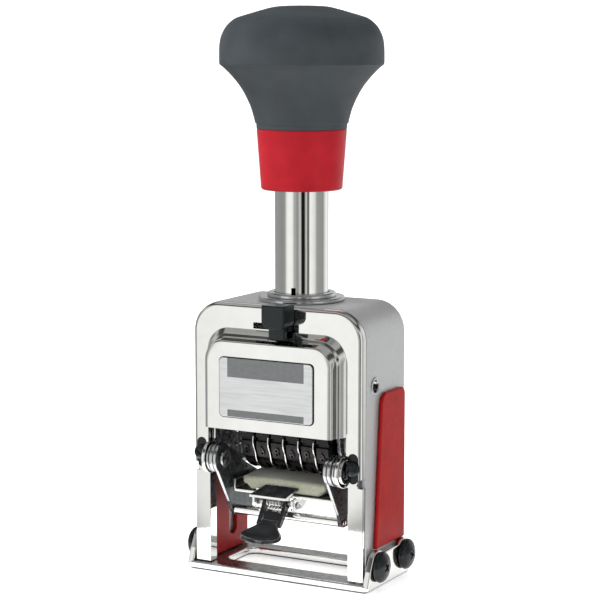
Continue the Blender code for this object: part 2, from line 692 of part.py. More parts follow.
def make_front_cover():
    """The chrome cover: rim, plate with two legs, and a stepped bulge that is open below."""
    corner = COVER_CORNER_RADIUS
    edge_leg = arc(COVER_HALF - corner, COVER_BOTTOM + corner, corner, -math.pi / 2, 0, 2)
    window_leg = [(BULGE_HALF_WIDTH, z) for _, z in edge_leg]
    edge = arch(COVER_HALF, BULGE_BOTTOM, COVER_TOP, BODY_RADIUS - COVER_SIDE_INSET)
    window = arch(BULGE_HALF_WIDTH, BULGE_BOTTOM, BULGE_TOP, BULGE_RADIUS)
    rim = mirrored(edge_leg[-1:]) + edge + edge_leg[-1:]
    edge = mirrored(edge_leg) + edge + list(reversed(edge_leg))
    rings = [[(x, BODY_FRONT - GAP, z) for x, z in rim], [(x, COVER_FRONT, z) for x, z in edge],
             [(x, COVER_FRONT, z) for x, z in mirrored(window_leg) + window + list(reversed(window_leg))]]
    for depth, inset in BULGE_SECTION_SHARES:
        half = BULGE_HALF_WIDTH - inset * BULGE_TAPER
        top = BULGE_TOP - inset * BULGE_TOP_TAPER
        section = arch(half, BULGE_BOTTOM, top, BULGE_RADIUS - inset * BULGE_RADIUS_LOSS)
        rings.append([(x, COVER_FRONT - depth * BULGE_DEPTH, z) for x, z in section])
    cover = pressed("front_cover", rings, COVER_THICKNESS, "chrome")
    front, back = COVER_FRONT - OVERRUN, COVER_BACK + OVERRUN
    slot = box("stop_slot", (STOP_SLOT_LEFT, front, STOP_SLOT_BOTTOM), (STOP_SLOT_RIGHT, back, STOP_SLOT_TOP))
    cut(cover, slot)
    half_width, half_height = SCREW_SLOT_HALF_WIDTH, SCREW_SLOT_HALF_HEIGHT
    for side, sign in SIDES.items():
        x = sign * COVER_SCREW_X
        outline = rounded_box(x - half_width, COVER_SCREW_Z - half_height, x + half_width,
                              COVER_SCREW_Z + half_height, half_width - GAP)
        cut(cover, as_mesh(sheet(side + "_screw_slot", [outline], "front", front, back)))
    head = COVER_SCREW_HEAD_HEIGHT
    dome = [(COVER_SCREW_HEAD_RADIUS * math.sin(angle), head * math.cos(angle))
            for angle in [math.pi / 2 * i / 4 for i in range(1, 5)]]
    shank = LEG_FRONT + LEG_THICKNESS - COVER_FRONT + GAP
    profile = [(0, head)] + dome + [(COVER_SCREW_RADIUS, 0), (COVER_SCREW_RADIUS, -shank), (0, -shank)]
    for side, sign in SIDES.items():
        screw = turned(side + "_cover_screw", profile, "black_steel", steps=SMALL_STEPS)
        place = Matrix.Translation((sign * COVER_SCREW_X, COVER_FRONT - GAP, COVER_SCREW_Z))
        screw.matrix_world = place @ Matrix.Rotation(math.pi / 2, 4, "X")
    outline = rounded_box(-NAME_PLATE_HALF_WIDTH, NAME_PLATE_BOTTOM, NAME_PLATE_HALF_WIDTH, NAME_PLATE_TOP,
                          NAME_PLATE_RADIUS)
    face = BULGE_FRONT - GAP
    sheet("name_plate", [outline], "front", face - NAME_PLATE_THICKNESS, face, "aluminium")


def make_legs():
    """The chrome uprights that stand on the base behind the cover's plate and carry the pivot ears."""
    front, back = LEG_FRONT, LEG_FRONT + LEG_DEPTH
    outer = COVER_HALF - LEG_SIDE_INSET + GAP
    upper = BODY_INSIDE
    for side, sign in SIDES.items():
        angle_iron = [(LEG_INNER, front), (outer, front), (outer, front + LEG_THICKNESS),
                      (LEG_INNER + LEG_THICKNESS, front + LEG_THICKNESS), (LEG_INNER + LEG_THICKNESS, back),
                      (LEG_INNER, back)]
        outline = [(sign * x, y) for x, y in angle_iron]
        leg = as_mesh(sheet(side + "_leg", [outline], "top", BODY_BOTTOM, LEG_TOP, "chrome"))
        low, high = span(side, upper - GAP, BODY_HALF + OVERRUN)
        shoulder = COVER_BOTTOM - GAP
        cut(leg, box(side + "_leg_notch", (low, front - OVERRUN, shoulder), (high, back, LEG_TOP + OVERRUN)))
        hole = (sign * COVER_SCREW_X, COVER_SCREW_Z)
        cut(leg, rod(side + "_leg_hole", "Y", COVER_SCREW_RADIUS + GAP, front - OVERRUN, back, hole))


def make_rear_cover():
    """The back cover, a shallow tray snapped into the body, with a hole for the selector's spindle."""
    half, top, radius = BODY_INSIDE - GAP, BODY_TOP - BODY_WALL - GAP, BODY_RADIUS - BODY_WALL - GAP
    rounding = REAR_COVER_ROUNDING
    edge = arch(half, REAR_COVER_BOTTOM, top, radius)
    face = arch(half - rounding, REAR_COVER_BOTTOM, top - rounding, radius - rounding)
    rings = [[(x, REAR_FACE - REAR_COVER_RIM_DEPTH, z) for x, z in reversed(edge)],
             [(x, REAR_FACE - rounding, z) for x, z in reversed(edge)],
             [(x, REAR_FACE, z) for x, z in reversed(face)]]
    cover = pressed("rear_cover", rings, REAR_COVER_THICKNESS, "chrome")
    hole = rod("spindle_hole", "Y", SPINDLE_RADIUS + GAP, REAR_INSIDE - OVERRUN, REAR_FACE + OVERRUN,
               (0, SELECTOR_Z), steps=ROUND_STEPS)
    cut(cover, hole)
    dial = [circle(0, SELECTOR_Z, DIAL_RADIUS, FINE_STEPS), circle(0, SELECTOR_Z, SPINDLE_RADIUS + GAP)]
    sheet("dial_plate", dial, "front", BODY_BACK, DIAL_FACE, "aluminium")
    pointer = ribbon([(0, SELECTOR_Z), (0, SELECTOR_Z + SELECTOR_POINTER)],
                     [SELECTOR_HUB_RADIUS, SELECTOR_TIP_RADIUS])
    start = DIAL_FACE + GAP
    end = start + SELECTOR_THICKNESS
    lever = as_mesh(sheet("selector_lever", [pointer], "front", start, end, "black_steel"))
    inner = REAR_INSIDE - SPINDLE_INNER_GAP
    join(lever, rod("spindle", "Y", SPINDLE_RADIUS, inner, (start + end) / 2, (0, SELECTOR_Z)))


def make_side_covers():
    """The red covers outside the body and the red liners inside it, behind the legs."""
    front, back = BODY_FRONT + SIDE_COVER_FRONT_INSET, BODY_BACK - SIDE_COVER_BACK_INSET
    bottom, top, radius = SIDE_COVER_BOTTOM, SIDE_COVER_TOP, SIDE_COVER_RADIUS
    outline = ([(back, bottom)] + arc(back - radius, top - radius, radius, 0, math.pi / 2, 4)
               + arc(front + SIDE_COVER_SLANT + radius, top - radius, radius, math.pi / 2, math.pi, 4)
               + [(front, bottom)])
    liner_front = LEG_FRONT + LEG_DEPTH + LINER_FRONT_GAP
    liner_back = REAR_FACE - LINER_BACK_INSET
    step = BODY_BOTTOM + (LINER_TOP - BODY_BOTTOM) * LINER_STEP_SHARE
    step_back = liner_back - LINER_STEP_INSET
    liner = [(liner_front, BODY_BOTTOM), (liner_back, BODY_BOTTOM), (liner_back, step - LINER_STEP_INSET),
             (step_back, step), (step_back, LINER_TOP), (liner_front, LINER_TOP)]
    slot = rounded_box(LINER_SLOT_Y - LINER_SLOT_HALF_WIDTH, BODY_BOTTOM + LINER_SLOT_MARGIN,
                       LINER_SLOT_Y + LINER_SLOT_HALF_WIDTH, LINER_TOP - LINER_SLOT_MARGIN,
                       LINER_SLOT_HALF_WIDTH - GAP)
    for side in SIDES:
        low, high = span(side, BODY_HALF + GAP, BODY_HALF + GAP + SIDE_COVER_THICKNESS)
        sheet(side + "_side_cover", [outline], "side", low, high, "red_plastic")
        low, high = span(side, BODY_INSIDE - GAP - LINER_THICKNESS, BODY_INSIDE - GAP)
        sheet(side + "_side_liner", [liner, slot], "side", low, high, "red_plastic")


def make_neck():
    """The flanged bush in the body's top and the washer on it."""
    bore, shank = BORE_RADIUS, BORE_RADIUS + BUSH_WALL
    seat = BODY_TOP + GAP
    profile = [(bore, BUSH_TOP), (BUSH_FLANGE_RADIUS - GAP, BUSH_TOP), (BUSH_FLANGE_RADIUS, BUSH_TOP - GAP),
               (BUSH_FLANGE_RADIUS, seat), (shank, seat), (shank, BUSH_BOTTOM), (bore, BUSH_BOTTOM)]
    turned("neck_bush", profile, "satin_steel", closed=True)
    low = BUSH_TOP + GAP
    profile = [(bore, WASHER_TOP), (WASHER_RADIUS - GAP, WASHER_TOP), (WASHER_RADIUS, WASHER_TOP - GAP),
               (WASHER_RADIUS, low), (bore, low)]
    turned("top_washer", profile, "satin_steel", closed=True)


def make_handle():
    """The plunger tube, the red collar and the rubber grip pressed on it."""
    inside = TUBE_RADIUS - TUBE_WALL
    profile = [(inside, TUBE_TOP), (TUBE_RADIUS, TUBE_TOP), (TUBE_RADIUS, YOKE_BOTTOM), (inside, YOKE_BOTTOM)]
    turned("plunger_tube", profile, "chrome", closed=True)
    edge = COLLAR_EDGE
    profile = [(BORE_RADIUS, COLLAR_TOP), (COLLAR_TOP_RADIUS, COLLAR_TOP),
               (COLLAR_BOTTOM_RADIUS, COLLAR_BOTTOM + edge), (COLLAR_BOTTOM_RADIUS - edge, COLLAR_BOTTOM),
               (BORE_RADIUS, COLLAR_BOTTOM)]
    turned("grip_collar", profile, "red_plastic", closed=True)
    outside = [(GRIP_RADIUS * radius, GRIP_BOTTOM + GRIP_HEIGHT * height)
               for radius, height in GRIP_PROFILE_SHARES]
    ceiling = GRIP_BOTTOM + GRIP_BORE_DEPTH
    profile = [(0, GRIP_TOP)] + outside + [(BORE_RADIUS, GRIP_BOTTOM), (BORE_RADIUS, ceiling), (0, ceiling)]
    turned("handle_grip", profile, "rubber")


def make_carriage():
    """The yoke on the tube's foot, two side plates under it, and the shafts between them."""
    ear_low, ear_high = ROD_Y - YOKE_EAR_HALF_WIDTH, ROD_Y + YOKE_EAR_HALF_WIDTH
    end = ROD_X + (BODY_INSIDE - ROD_X) * YOKE_EAR_REACH_SHARE
    half = CARRIAGE_HALF_WIDTH
    outline = [(half, YOKE_FRONT), (half, ear_low), (end, ear_low), (end, ear_high), (half, ear_high),
               (half, YOKE_BACK), (-half, YOKE_BACK), (-half, ear_high), (-end, ear_high), (-end, ear_low),
               (-half, ear_low), (-half, YOKE_FRONT)]
    holes = [circle(0, 0, BORE_RADIUS, FINE_STEPS)]
    holes += [circle(sign * ROD_X, ROD_Y, ROD_RADIUS + GAP, SMALL_STEPS) for sign in SIDES.values()]
    sheet("tube_yoke", [outline] + holes, "top", YOKE_BOTTOM, YOKE_TOP, "satin_steel")
    radius = CARRIAGE_END_RADIUS
    plate = ([(CARRIAGE_BACK, CARRIAGE_SHOULDER), (CARRIAGE_BACK, CARRIAGE_TOP)]
             + [(CARRIAGE_FRONT, CARRIAGE_TOP), (CARRIAGE_FRONT, CARRIAGE_SHOULDER)]
             + arc(AXLE_Y, AXLE_Z, radius, math.pi, 2 * math.pi, 12))
    holes = [circle(AXLE_Y, AXLE_Z, AXLE_RADIUS + GAP),
             circle(PAWL_SHAFT_Y, PAWL_SHAFT_Z, SHAFT_RADIUS + GAP, SMALL_STEPS),
             circle(DETENT_SHAFT_Y, DETENT_SHAFT_Z, SHAFT_RADIUS + GAP, SMALL_STEPS)]
    for side in SIDES:
        low, high = span(side, CARRIAGE_INSIDE, CARRIAGE_HALF_WIDTH)
        sheet(side + "_carriage_plate", [plate] + holes, "side", low, high, "satin_steel")
    reach = CARRIAGE_HALF_WIDTH + GAP
    rod("wheel_axle", "X", AXLE_RADIUS, -reach, reach, (AXLE_Y, AXLE_Z), "satin_steel", ROUND_STEPS)
    rod("pawl_shaft", "X", SHAFT_RADIUS, -reach, reach, (PAWL_SHAFT_Y, PAWL_SHAFT_Z), "satin_steel")


def make_wheels():
    """Six number wheels with ten type blocks each round the rim, and the thin detent fingers between them."""
    block = 2 * math.pi / DIGITS
    half = block * TYPE_BLOCK_SHARE / 2
    root = WHEEL_RADIUS - WHEEL_ROOT_DEPTH
    outline = []
    for digit in range(DIGITS):
        middle = digit * block - math.pi / 2
        outline += arc(AXLE_Y, AXLE_Z, root, middle - half, middle - half, 1)[:1]
        outline += arc(AXLE_Y, AXLE_Z, WHEEL_RADIUS, middle - half, middle + half, 3)
        outline += arc(AXLE_Y, AXLE_Z, root, middle + half, middle + half, 1)[:1]
    bore = circle(AXLE_Y, AXLE_Z, AXLE_RADIUS + GAP)
    for number in range(WHEEL_COUNT):
        x = WHEEL_PITCH * (number + 1 / 2) - PACK_HALF
        name = "number_wheel_" + str(number + 1)
        sheet(name, [outline, bore], "side", x - WHEEL_WIDTH / 2, x + WHEEL_WIDTH / 2, "black_steel")
    middle_radius = WHEEL_RADIUS + DETENT_REACH - DETENT_WIDTH / 2
    path = [(DETENT_SHAFT_Y, DETENT_SHAFT_Z)]
    path += arc(AXLE_Y, AXLE_Z, middle_radius, DETENT_START, DETENT_END, 12)
    widths = [DETENT_HUB_RADIUS] + [DETENT_WIDTH / 2] * (len(path) - 1)
    reach = CARRIAGE_HALF_WIDTH + GAP
    comb = rod("detent_comb", "X", SHAFT_RADIUS, -reach, reach, (DETENT_SHAFT_Y, DETENT_SHAFT_Z), "chrome")
    half = DETENT_THICKNESS / 2
    for number in range(WHEEL_COUNT - 1):
        x = WHEEL_PITCH * (number + 1) - PACK_HALF
        finger = sheet("detent_finger_" + str(number + 1), [ribbon(path, widths)], "side", x - half, x + half)
        join(comb, as_mesh(finger))


def make_pawl():
    """The feed pawl, a comb with one finger for each wheel."""
    reach = WHEEL_RADIUS + PAWL_TIP_GAP + PAWL_TIP_RADIUS
    tip = (AXLE_Y + reach * math.cos(PAWL_TIP_ANGLE), AXLE_Z + reach * math.sin(PAWL_TIP_ANGLE))
    outline = ribbon([(PAWL_SHAFT_Y, PAWL_SHAFT_Z), tip], [PAWL_HUB_RADIUS, PAWL_TIP_RADIUS])
    hole = circle(PAWL_SHAFT_Y, PAWL_SHAFT_Z, SHAFT_RADIUS + GAP, SMALL_STEPS)
    half = CARRIAGE_INSIDE - PAWL_END_GAP
    pawl = as_mesh(sheet("feed_pawl", [outline, hole], "side", -half, half, "gunmetal"))
    top = PAWL_SHAFT_Z - PAWL_HUB_RADIUS
    low = (-PAWL_SLOT / 2, PAWL_SHAFT_Y - 2 * PAWL_HUB_RADIUS, top - PAWL_SHAFT_RISE)
    high = (PAWL_SLOT / 2, PAWL_SHAFT_Y + 2 * PAWL_HUB_RADIUS, top)
    places = [WHEEL_PITCH * (number + 1) - PACK_HALF for number in range(WHEEL_COUNT - 1)]
    cut(pawl, copies(box("pawl_slots", low, high), [Matrix.Translation((x, 0, 0)) for x in places]))


def make_return_springs():
    """Two guide rods with their seats on the body's walls, and the springs that lift the carriage."""
    wall = BODY_INSIDE - GAP
    radius = BODY_RADIUS - BODY_WALL
    reach = max(0, ROD_X + ROD_RADIUS - (BODY_INSIDE - radius))
    ceiling = BODY_TOP - BODY_WALL - radius + math.sqrt(radius ** 2 - reach ** 2) - GAP
    start, end = SEAT_TOP + GAP + RETURN_WIRE_RADIUS, YOKE_BOTTOM - GAP - RETURN_WIRE_RADIUS
    steps = RETURN_TURNS * COIL_STEPS
    for side, sign in SIDES.items():
        x = sign * ROD_X
        rod(side + "_guide_rod", "Z", ROD_RADIUS, SEAT_TOP + GAP, ceiling, (x, ROD_Y), "satin_steel")
        low, high = span(side, ROD_X - SEAT_REACH, wall)
        seat = box(side + "_spring_seat", (low, ROD_Y - SEAT_HALF_DEPTH, SEAT_BOTTOM),
                   (high, ROD_Y + SEAT_HALF_DEPTH, SEAT_TOP), "satin_steel")
        low, high = span(side, wall - SEAT_FLANGE_THICKNESS, wall - GAP / 3)
        inset = GAP / 3
        flange = box(side + "_seat_flange", (low, ROD_Y - SEAT_HALF_DEPTH + inset, SEAT_BOTTOM + inset),
                     (high, ROD_Y + SEAT_HALF_DEPTH - inset, SEAT_BOTTOM + SEAT_FLANGE_HEIGHT))
        join(seat, flange)
        points = []
        for step in range(steps + 1):
            angle = 2 * math.pi * RETURN_TURNS * step / steps
            points.append((x + RETURN_COIL_RADIUS * math.cos(angle),
                           ROD_Y + RETURN_COIL_RADIUS * math.sin(angle),
                           start + (end - start) * step / steps))
        wire(side + "_return_spring", points, RETURN_WIRE_RADIUS, "satin_steel")


def make_stop_slider():
    """The black stop slider, a head with a stem through the cover's slot and a foot, and its plate behind."""
    left, right = STOP_HEAD_LEFT, STOP_HEAD_LEFT + STOP_HEAD_WIDTH
    front, back = COVER_FRONT - STOP_HEAD_DEPTH, COVER_FRONT - GAP
    head_bottom = STOP_HEAD_TOP - STOP_HEAD_HEIGHT
    quarter, rounding = math.pi / 2, 2 * STOP_ROUNDING
    outline = ([(right, STOP_HEAD_TOP), (left, STOP_HEAD_TOP)]
               + arc(left + rounding, head_bottom + rounding, rounding, 2 * quarter, 3 * quarter, 4)
               + arc(right - rounding, head_bottom + rounding, rounding, -quarter, 0, 4))
    slider = as_mesh(sheet("stop_slider", [outline], "front", front, back, "black_steel"))
    left, right = left + STOP_NECK_INSET, right - STOP_NECK_INSET
    inset = STOP_SLOT_HEIGHT / 6
    plate_front = COVER_BACK + GAP
    stem = box("stop_stem", (left, back - STOP_FOOT_DEPTH, STOP_SLOT_BOTTOM + inset),
               (right, plate_front - GAP, STOP_SLOT_TOP - inset))
    foot_top = head_bottom + STOP_ROUNDING
    foot_front = back - STOP_HEAD_DEPTH / 2 - STOP_FOOT_DEPTH / 2
    foot = box("stop_foot", (left + inset, foot_front, foot_top - STOP_FOOT_HEIGHT),
               (right - inset, foot_front + STOP_FOOT_DEPTH, foot_top))
    join(slider, stem, foot)
    margin = STOP_PLATE_MARGIN
    travel = left - inset - STOP_SLOT_LEFT
    outline = rounded_box(left - travel / 2, STOP_SLOT_BOTTOM - margin, right + travel / 2,
                          STOP_SLOT_TOP + margin, STOP_ROUNDING / 2)
    sheet("stop_plate", [outline], "front", plate_front, plate_front + STOP_PLATE_THICKNESS, "chrome")


def make_ink_arm():
    """The two arms on their pivots, the rod and the tray between them, and the ink pad in the tray."""
    foot_low = ARM_ROD_Z - ARM_ROD_RADIUS
    heel = ARM_ROD_Z + ARM_ROD_RADIUS
    knee_y = ARM_PIVOT_Y + (ARM_ROD_Y - ARM_PIVOT_Y) * ARM_KNEE_SHARE
    knee_z = ARM_PIVOT_Z + (ARM_ROD_Z - ARM_PIVOT_Z) * ARM_KNEE_SHARE
    arm = (arc(ARM_PIVOT_Y, ARM_PIVOT_Z, ARM_END_RADIUS, math.pi / 3, math.pi * 5 / 4, 10)
           + [(knee_y - ARM_ROD_RADIUS, knee_z - ARM_ROD_RADIUS / 2), (ARM_ROD_Y - ARM_ROD_RADIUS, heel),
              (ARM_ROD_Y - ARM_ROD_RADIUS / 2, foot_low), (ARM_FOOT_BACK - ARM_FOOT_MARGIN, foot_low),
              (ARM_FOOT_BACK, foot_low + ARM_FOOT_MARGIN), (ARM_FOOT_BACK, PAD_TOP - ARM_FOOT_MARGIN),
              (knee_y + ARM_END_RADIUS, PAD_TOP + (ARM_PIVOT_Z - PAD_TOP) * ARM_TOP_SHARE)])
    holes = [circle(ARM_PIVOT_Y, ARM_PIVOT_Z, PIVOT_RADIUS + GAP),
             circle(ARM_ROD_Y, ARM_ROD_Z, ARM_ROD_TENON_RADIUS + GAP, SMALL_STEPS)]
    bore = PIVOT_RADIUS + GAP + GAP / 3
    ring = [circle(ARM_PIVOT_Y, ARM_PIVOT_Z, BOSS_RADIUS), circle(ARM_PIVOT_Y, ARM_PIVOT_Z, bore)]
    for side in SIDES:
        low, high = span(side, ARM_INSIDE, ARM_HALF_SPAN)
        plate = as_mesh(sheet(side + "_ink_arm", [arm] + holes, "side", low, high, "gunmetal"))
        low, high = span(side, ARM_HALF_SPAN - ARM_THICKNESS / 2, EAR_PLATE_INNER - GAP)
        join(plate, as_mesh(sheet(side + "_arm_boss", ring, "side", low, high)))
    shoulder, end = ARM_INSIDE - GAP, ARM_HALF_SPAN + GAP
    profile = [(0, end), (ARM_ROD_TENON_RADIUS, end), (ARM_ROD_TENON_RADIUS, shoulder),
               (ARM_ROD_RADIUS, shoulder), (ARM_ROD_RADIUS, -shoulder), (ARM_ROD_TENON_RADIUS, -shoulder),
               (ARM_ROD_TENON_RADIUS, -end), (0, -end)]
    bar = turned("arm_rod", profile, "chrome", steps=SMALL_STEPS)
    bar.matrix_world = Matrix.Translation((0, ARM_ROD_Y, ARM_ROD_Z)) @ AXES["X"]
    half, wall = TRAY_HALF_WIDTH, TRAY_THICKNESS
    rim = TRAY_BOTTOM + TRAY_WALL_HEIGHT
    outline = [(half, TRAY_BOTTOM), (half, rim), (half - wall, rim), (half - wall, TRAY_TOP),
               (wall - half, TRAY_TOP), (wall - half, rim), (-half, rim), (-half, TRAY_BOTTOM)]
    sheet("ink_tray", [outline], "front", PAD_FRONT - TRAY_OVERHANG, PAD_BACK + TRAY_OVERHANG, "chrome")
    half, bevel = PAD_HALF_WIDTH, PAD_CHAMFER
    outline = [(half, PAD_TOP), (-half, PAD_TOP), (-half, PAD_BOTTOM + bevel), (bevel - half, PAD_BOTTOM),
               (half - bevel, PAD_BOTTOM), (half, PAD_BOTTOM + bevel)]
    sheet("ink_pad", [outline], "front", PAD_FRONT, PAD_BACK, "felt")


def make_pivots():
    """The ears that stand forward from the legs, and the screws on which the ink arms turn."""
    back = LEG_FRONT + LEG_DEPTH
    strip = back - PIVOT_EAR_STRIP
    ear = (arc(ARM_PIVOT_Y, ARM_PIVOT_Z, PIVOT_EAR_RADIUS, math.pi / 2, math.pi * 3 / 2, 12)
           + [(back, ARM_PIVOT_Z - PIVOT_EAR_RADIUS), (back, BULGE_BOTTOM - GAP), (strip, BULGE_BOTTOM - GAP),
              (strip, ARM_PIVOT_Z + PIVOT_EAR_RADIUS)])
    hole = circle(ARM_PIVOT_Y, ARM_PIVOT_Z, PIVOT_RADIUS + GAP)
    for side in SIDES:
        low, high = span(side, EAR_PLATE_INNER, EAR_PLATE_OUTER)
        sheet(side + "_pivot_ear", [ear, hole], "side", low, high, "chrome")
    start = ARM_INSIDE - GAP
    profile = [(0, EAR_PLATE_OUTER), (PIVOT_RADIUS, EAR_PLATE_OUTER), (PIVOT_RADIUS, start),
               (PIVOT_HEAD_RADIUS, start), (PIVOT_HEAD_RADIUS, start - PIVOT_HEAD_HEIGHT),
               (0, start - PIVOT_HEAD_HEIGHT)]
    for side, sign in SIDES.items():
        screw = turned(side + "_pivot_screw", profile, "satin_steel", steps=ROUND_STEPS)
        place = Matrix.Translation((0, ARM_PIVOT_Y, ARM_PIVOT_Z))
        screw.matrix_world = place @ Matrix.Rotation(sign * math.pi / 2, 4, "Y")


def make_pad_lever():
    """The bracket under the tray, the spoon lever on its pin, and the torsion spring round the pin."""
    top = TRAY_BOTTOM - GAP
    bottom = LEVER_PIVOT_Z - BRACKET_DROP
    left, right = LEVER_X - BRACKET_HALF_WIDTH, LEVER_X + BRACKET_HALF_WIDTH
    wall = BRACKET_THICKNESS
    outline = [(left, bottom), (left + wall, bottom), (left + wall, top - wall), (right - wall, top - wall),
               (right - wall, bottom), (right, bottom), (right, top), (left, top)]
    front = LEVER_PIVOT_Y - BRACKET_NOSE
    web_front = LEVER_PIVOT_Y + BRACKET_WEB_SETBACK
    bracket = as_mesh(sheet("lever_bracket", [outline], "front", front, front + BRACKET_DEPTH, "chrome"))
    opening = box("bracket_opening", (left + wall, front - OVERRUN, bottom - OVERRUN),
                  (right - wall, web_front, top + OVERRUN))
    centre = (LEVER_PIVOT_Y, LEVER_PIVOT_Z)
    pin_hole = rod("lever_pin_hole", "X", LEVER_PIN_RADIUS + GAP, left - OVERRUN, right + OVERRUN, centre)
    cut(bracket, opening, pin_hole)
    rod("lever_pin", "X", LEVER_PIN_RADIUS, left - GAP, right + GAP, centre, "satin_steel")
    neck = (LEVER_PIVOT_Y - TAB_NECK_REACH, LEVER_PIVOT_Z - TAB_NECK_DROP)
    half = CHEEK_SPAN
    outline = [(-TAB_HALF_WIDTH * share, TAB_LENGTH * along) for along, share in TAB_WIDTH_SHARES]
    outline += [(-u, v) for u, v in reversed(outline)]
    tab = as_mesh(sheet("pad_lever", [outline], "top", -TAB_THICKNESS / 2, TAB_THICKNESS / 2, "black_steel"))
    place = Matrix.Translation((LEVER_X, *neck)) @ Matrix.Rotation(math.pi, 4, "Z")
    tab.data.transform(place @ Matrix.Rotation(-TAB_SLOPE, 4, "X"))
    foot = (neck[0] - TAB_OVERLAP * math.cos(TAB_SLOPE), neck[1] - TAB_OVERLAP * math.sin(TAB_SLOPE))
    cheek = ribbon([centre, foot], [CHEEK_RADIUS, CHEEK_NECK])
    hole = circle(*centre, LEVER_PIN_RADIUS + GAP, SMALL_STEPS)
    inset = GAP / 3
    for side, sign in SIDES.items():
        low, high = sorted((LEVER_X + sign * (half - inset), LEVER_X + sign * (half - CHEEK_THICKNESS)))
        join(tab, as_mesh(sheet(side + "_cheek", [cheek, hole], "side", low, high)))
    steps = SPRING_TURNS * COIL_STEPS
    length = SPRING_PITCH * SPRING_TURNS
    points = []
    for step in range(steps + 1):
        angle = 2 * math.pi * SPRING_TURNS * step / steps + math.pi / 2
        points.append((LEVER_X - length / 2 + length * step / steps,
                       LEVER_PIVOT_Y + SPRING_COIL_RADIUS * math.cos(angle),
                       LEVER_PIVOT_Z + SPRING_COIL_RADIUS * math.sin(angle)))
    points.insert(0, (points[0][0], points[0][1] + SPRING_LEG, points[0][2]))
    points.append((points[-1][0], points[-1][1] - SPRING_LEG, points[-1][2]))
    wire("torsion_spring", points, SPRING_WIRE_RADIUS, "satin_steel")
    print("torsion spring: least gap between its turns is %.2f mm" % least_gap(points, SPRING_WIRE_RADIUS))


def least_gap(points, radius):
    """The least gap in millimetres between turns of a wire, from its points that lie more than half a turn
    apart."""
    places = [Vector(point) for point in points]
    half_turn = COIL_STEPS // 2 + 1
    apart = min((a - b).length for i, a in enumerate(places) for b in places[i + half_turn:])
    return (apart - 2 * radius) * 1000


PARTS, CUTTERS = clear_scene()
make_base()
make_body_shell()
make_front_cover()
make_legs()
make_rear_cover()
make_side_covers()
make_neck()
make_handle()
make_carriage()
make_wheels()
make_pawl()
make_return_springs()
make_stop_slider()
make_ink_arm()
make_pivots()
make_pad_lever()
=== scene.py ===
"""The looks of the numbering machine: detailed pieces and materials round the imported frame, in metres, with +X
to the machine's right, +Y to its back and +Z up."""
from math import atan2, copysign, cos, hypot, pi, radians, sin, sqrt, tan

import bmesh
import bpy
from mathutils import Matrix, Vector, noise


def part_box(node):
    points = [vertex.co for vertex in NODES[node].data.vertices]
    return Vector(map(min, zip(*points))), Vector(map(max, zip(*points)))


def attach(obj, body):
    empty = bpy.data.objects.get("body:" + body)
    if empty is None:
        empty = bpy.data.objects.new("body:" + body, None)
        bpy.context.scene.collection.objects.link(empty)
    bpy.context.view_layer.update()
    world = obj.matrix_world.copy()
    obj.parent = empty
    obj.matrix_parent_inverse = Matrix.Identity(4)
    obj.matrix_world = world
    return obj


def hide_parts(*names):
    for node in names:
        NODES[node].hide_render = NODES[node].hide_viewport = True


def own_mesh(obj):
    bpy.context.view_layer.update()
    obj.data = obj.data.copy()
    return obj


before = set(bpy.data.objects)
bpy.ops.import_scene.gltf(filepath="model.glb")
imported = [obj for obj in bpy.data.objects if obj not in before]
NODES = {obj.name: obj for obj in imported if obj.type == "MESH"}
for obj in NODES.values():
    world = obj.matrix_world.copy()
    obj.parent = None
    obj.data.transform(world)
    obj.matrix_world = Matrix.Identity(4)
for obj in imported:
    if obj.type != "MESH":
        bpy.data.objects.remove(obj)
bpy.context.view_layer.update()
IDENTITY = Matrix.Identity(4)
QUARTER = pi / 2
WELD = 0.000001
EDGE = 0.00015
NODE_EDGE = 0.00012
SHARP = radians(38)
SIDES = {"left": -1, "right": 1}
PLANES = {"front": (QUARTER, 0, 0), "side": (QUARTER, 0, QUARTER), "top": (0, 0, 0)}
AXES = {
    "X": Matrix.Rotation(QUARTER, 4, "Y"),
    "Y": Matrix.Rotation(QUARTER, 4, "X"),
    "Z": IDENTITY,
}

# Camera
AIM = Vector((0.0, 0.0, 0.08385))
CAMERA_AZIMUTH = 28.52
CAMERA_ELEVATION = 7.76
CAMERA_DISTANCE = 0.6
LIGHT_DISTANCE = 1.1
LENS = 118.15
SHIFT_X = -0.003

# Sizes shared by several pieces
BODY_HALF = 0.0290
BODY_WALL = 0.0016
BODY_INSIDE = BODY_HALF - BODY_WALL
BODY_FRONT = -0.0136
BODY_BACK = 0.0122
BODY_TOP = 0.0840
BODY_BOTTOM = 0.0027
BODY_RADIUS = 0.0092
COVER_FRONT = -0.0163
COVER_BACK = -0.0155
COVER_HALF = 0.0288
COVER_TOP = 0.0838
COVER_BOTTOM = 0.0314
BULGE_HALF = 0.0237
BULGE_BOTTOM = 0.0464
BULGE_TOP = 0.0764
BULGE_DEPTH = 0.0059
BULGE_RADIUS = 0.0075
BULGE_FRONT = COVER_FRONT - BULGE_DEPTH
COVER_SCREW = (0.0260, 0.0372)
BASE_SCREW_ROWS = {"front": -0.0094, "rear": 0.0080}
BASE_SCREW_Z = 0.0067
BASE_SCREW_X = 0.0316
EYELET = (-0.0079, 0.0609)
LABEL_BAND_HALF = 0.0130
LABEL_BANDS = ((0.06255, 0.06835), (0.0506, 0.0527))
DIAL_Z = 0.062
BORE = 0.00845
AXLE = Vector((0.0, -0.0008, 0.0417))
WHEELS = 6
DIGITS = 10
WHEEL_RADIUS = 0.0110
WHEEL_PITCH = 0.0052
WHEEL_WIDTH = 0.0042
ARM_PIVOT = (-0.0164, 0.0360)
ARM_ROD = (-0.0092, 0.0186)
ARM_INSIDE = 0.0183
ARM_OUTSIDE = 0.0195
EAR_INSIDE = 0.0222
PIVOT_HOLE = 0.0018
PIN_HOLE = 0.0011
LEVER_X = -0.0030
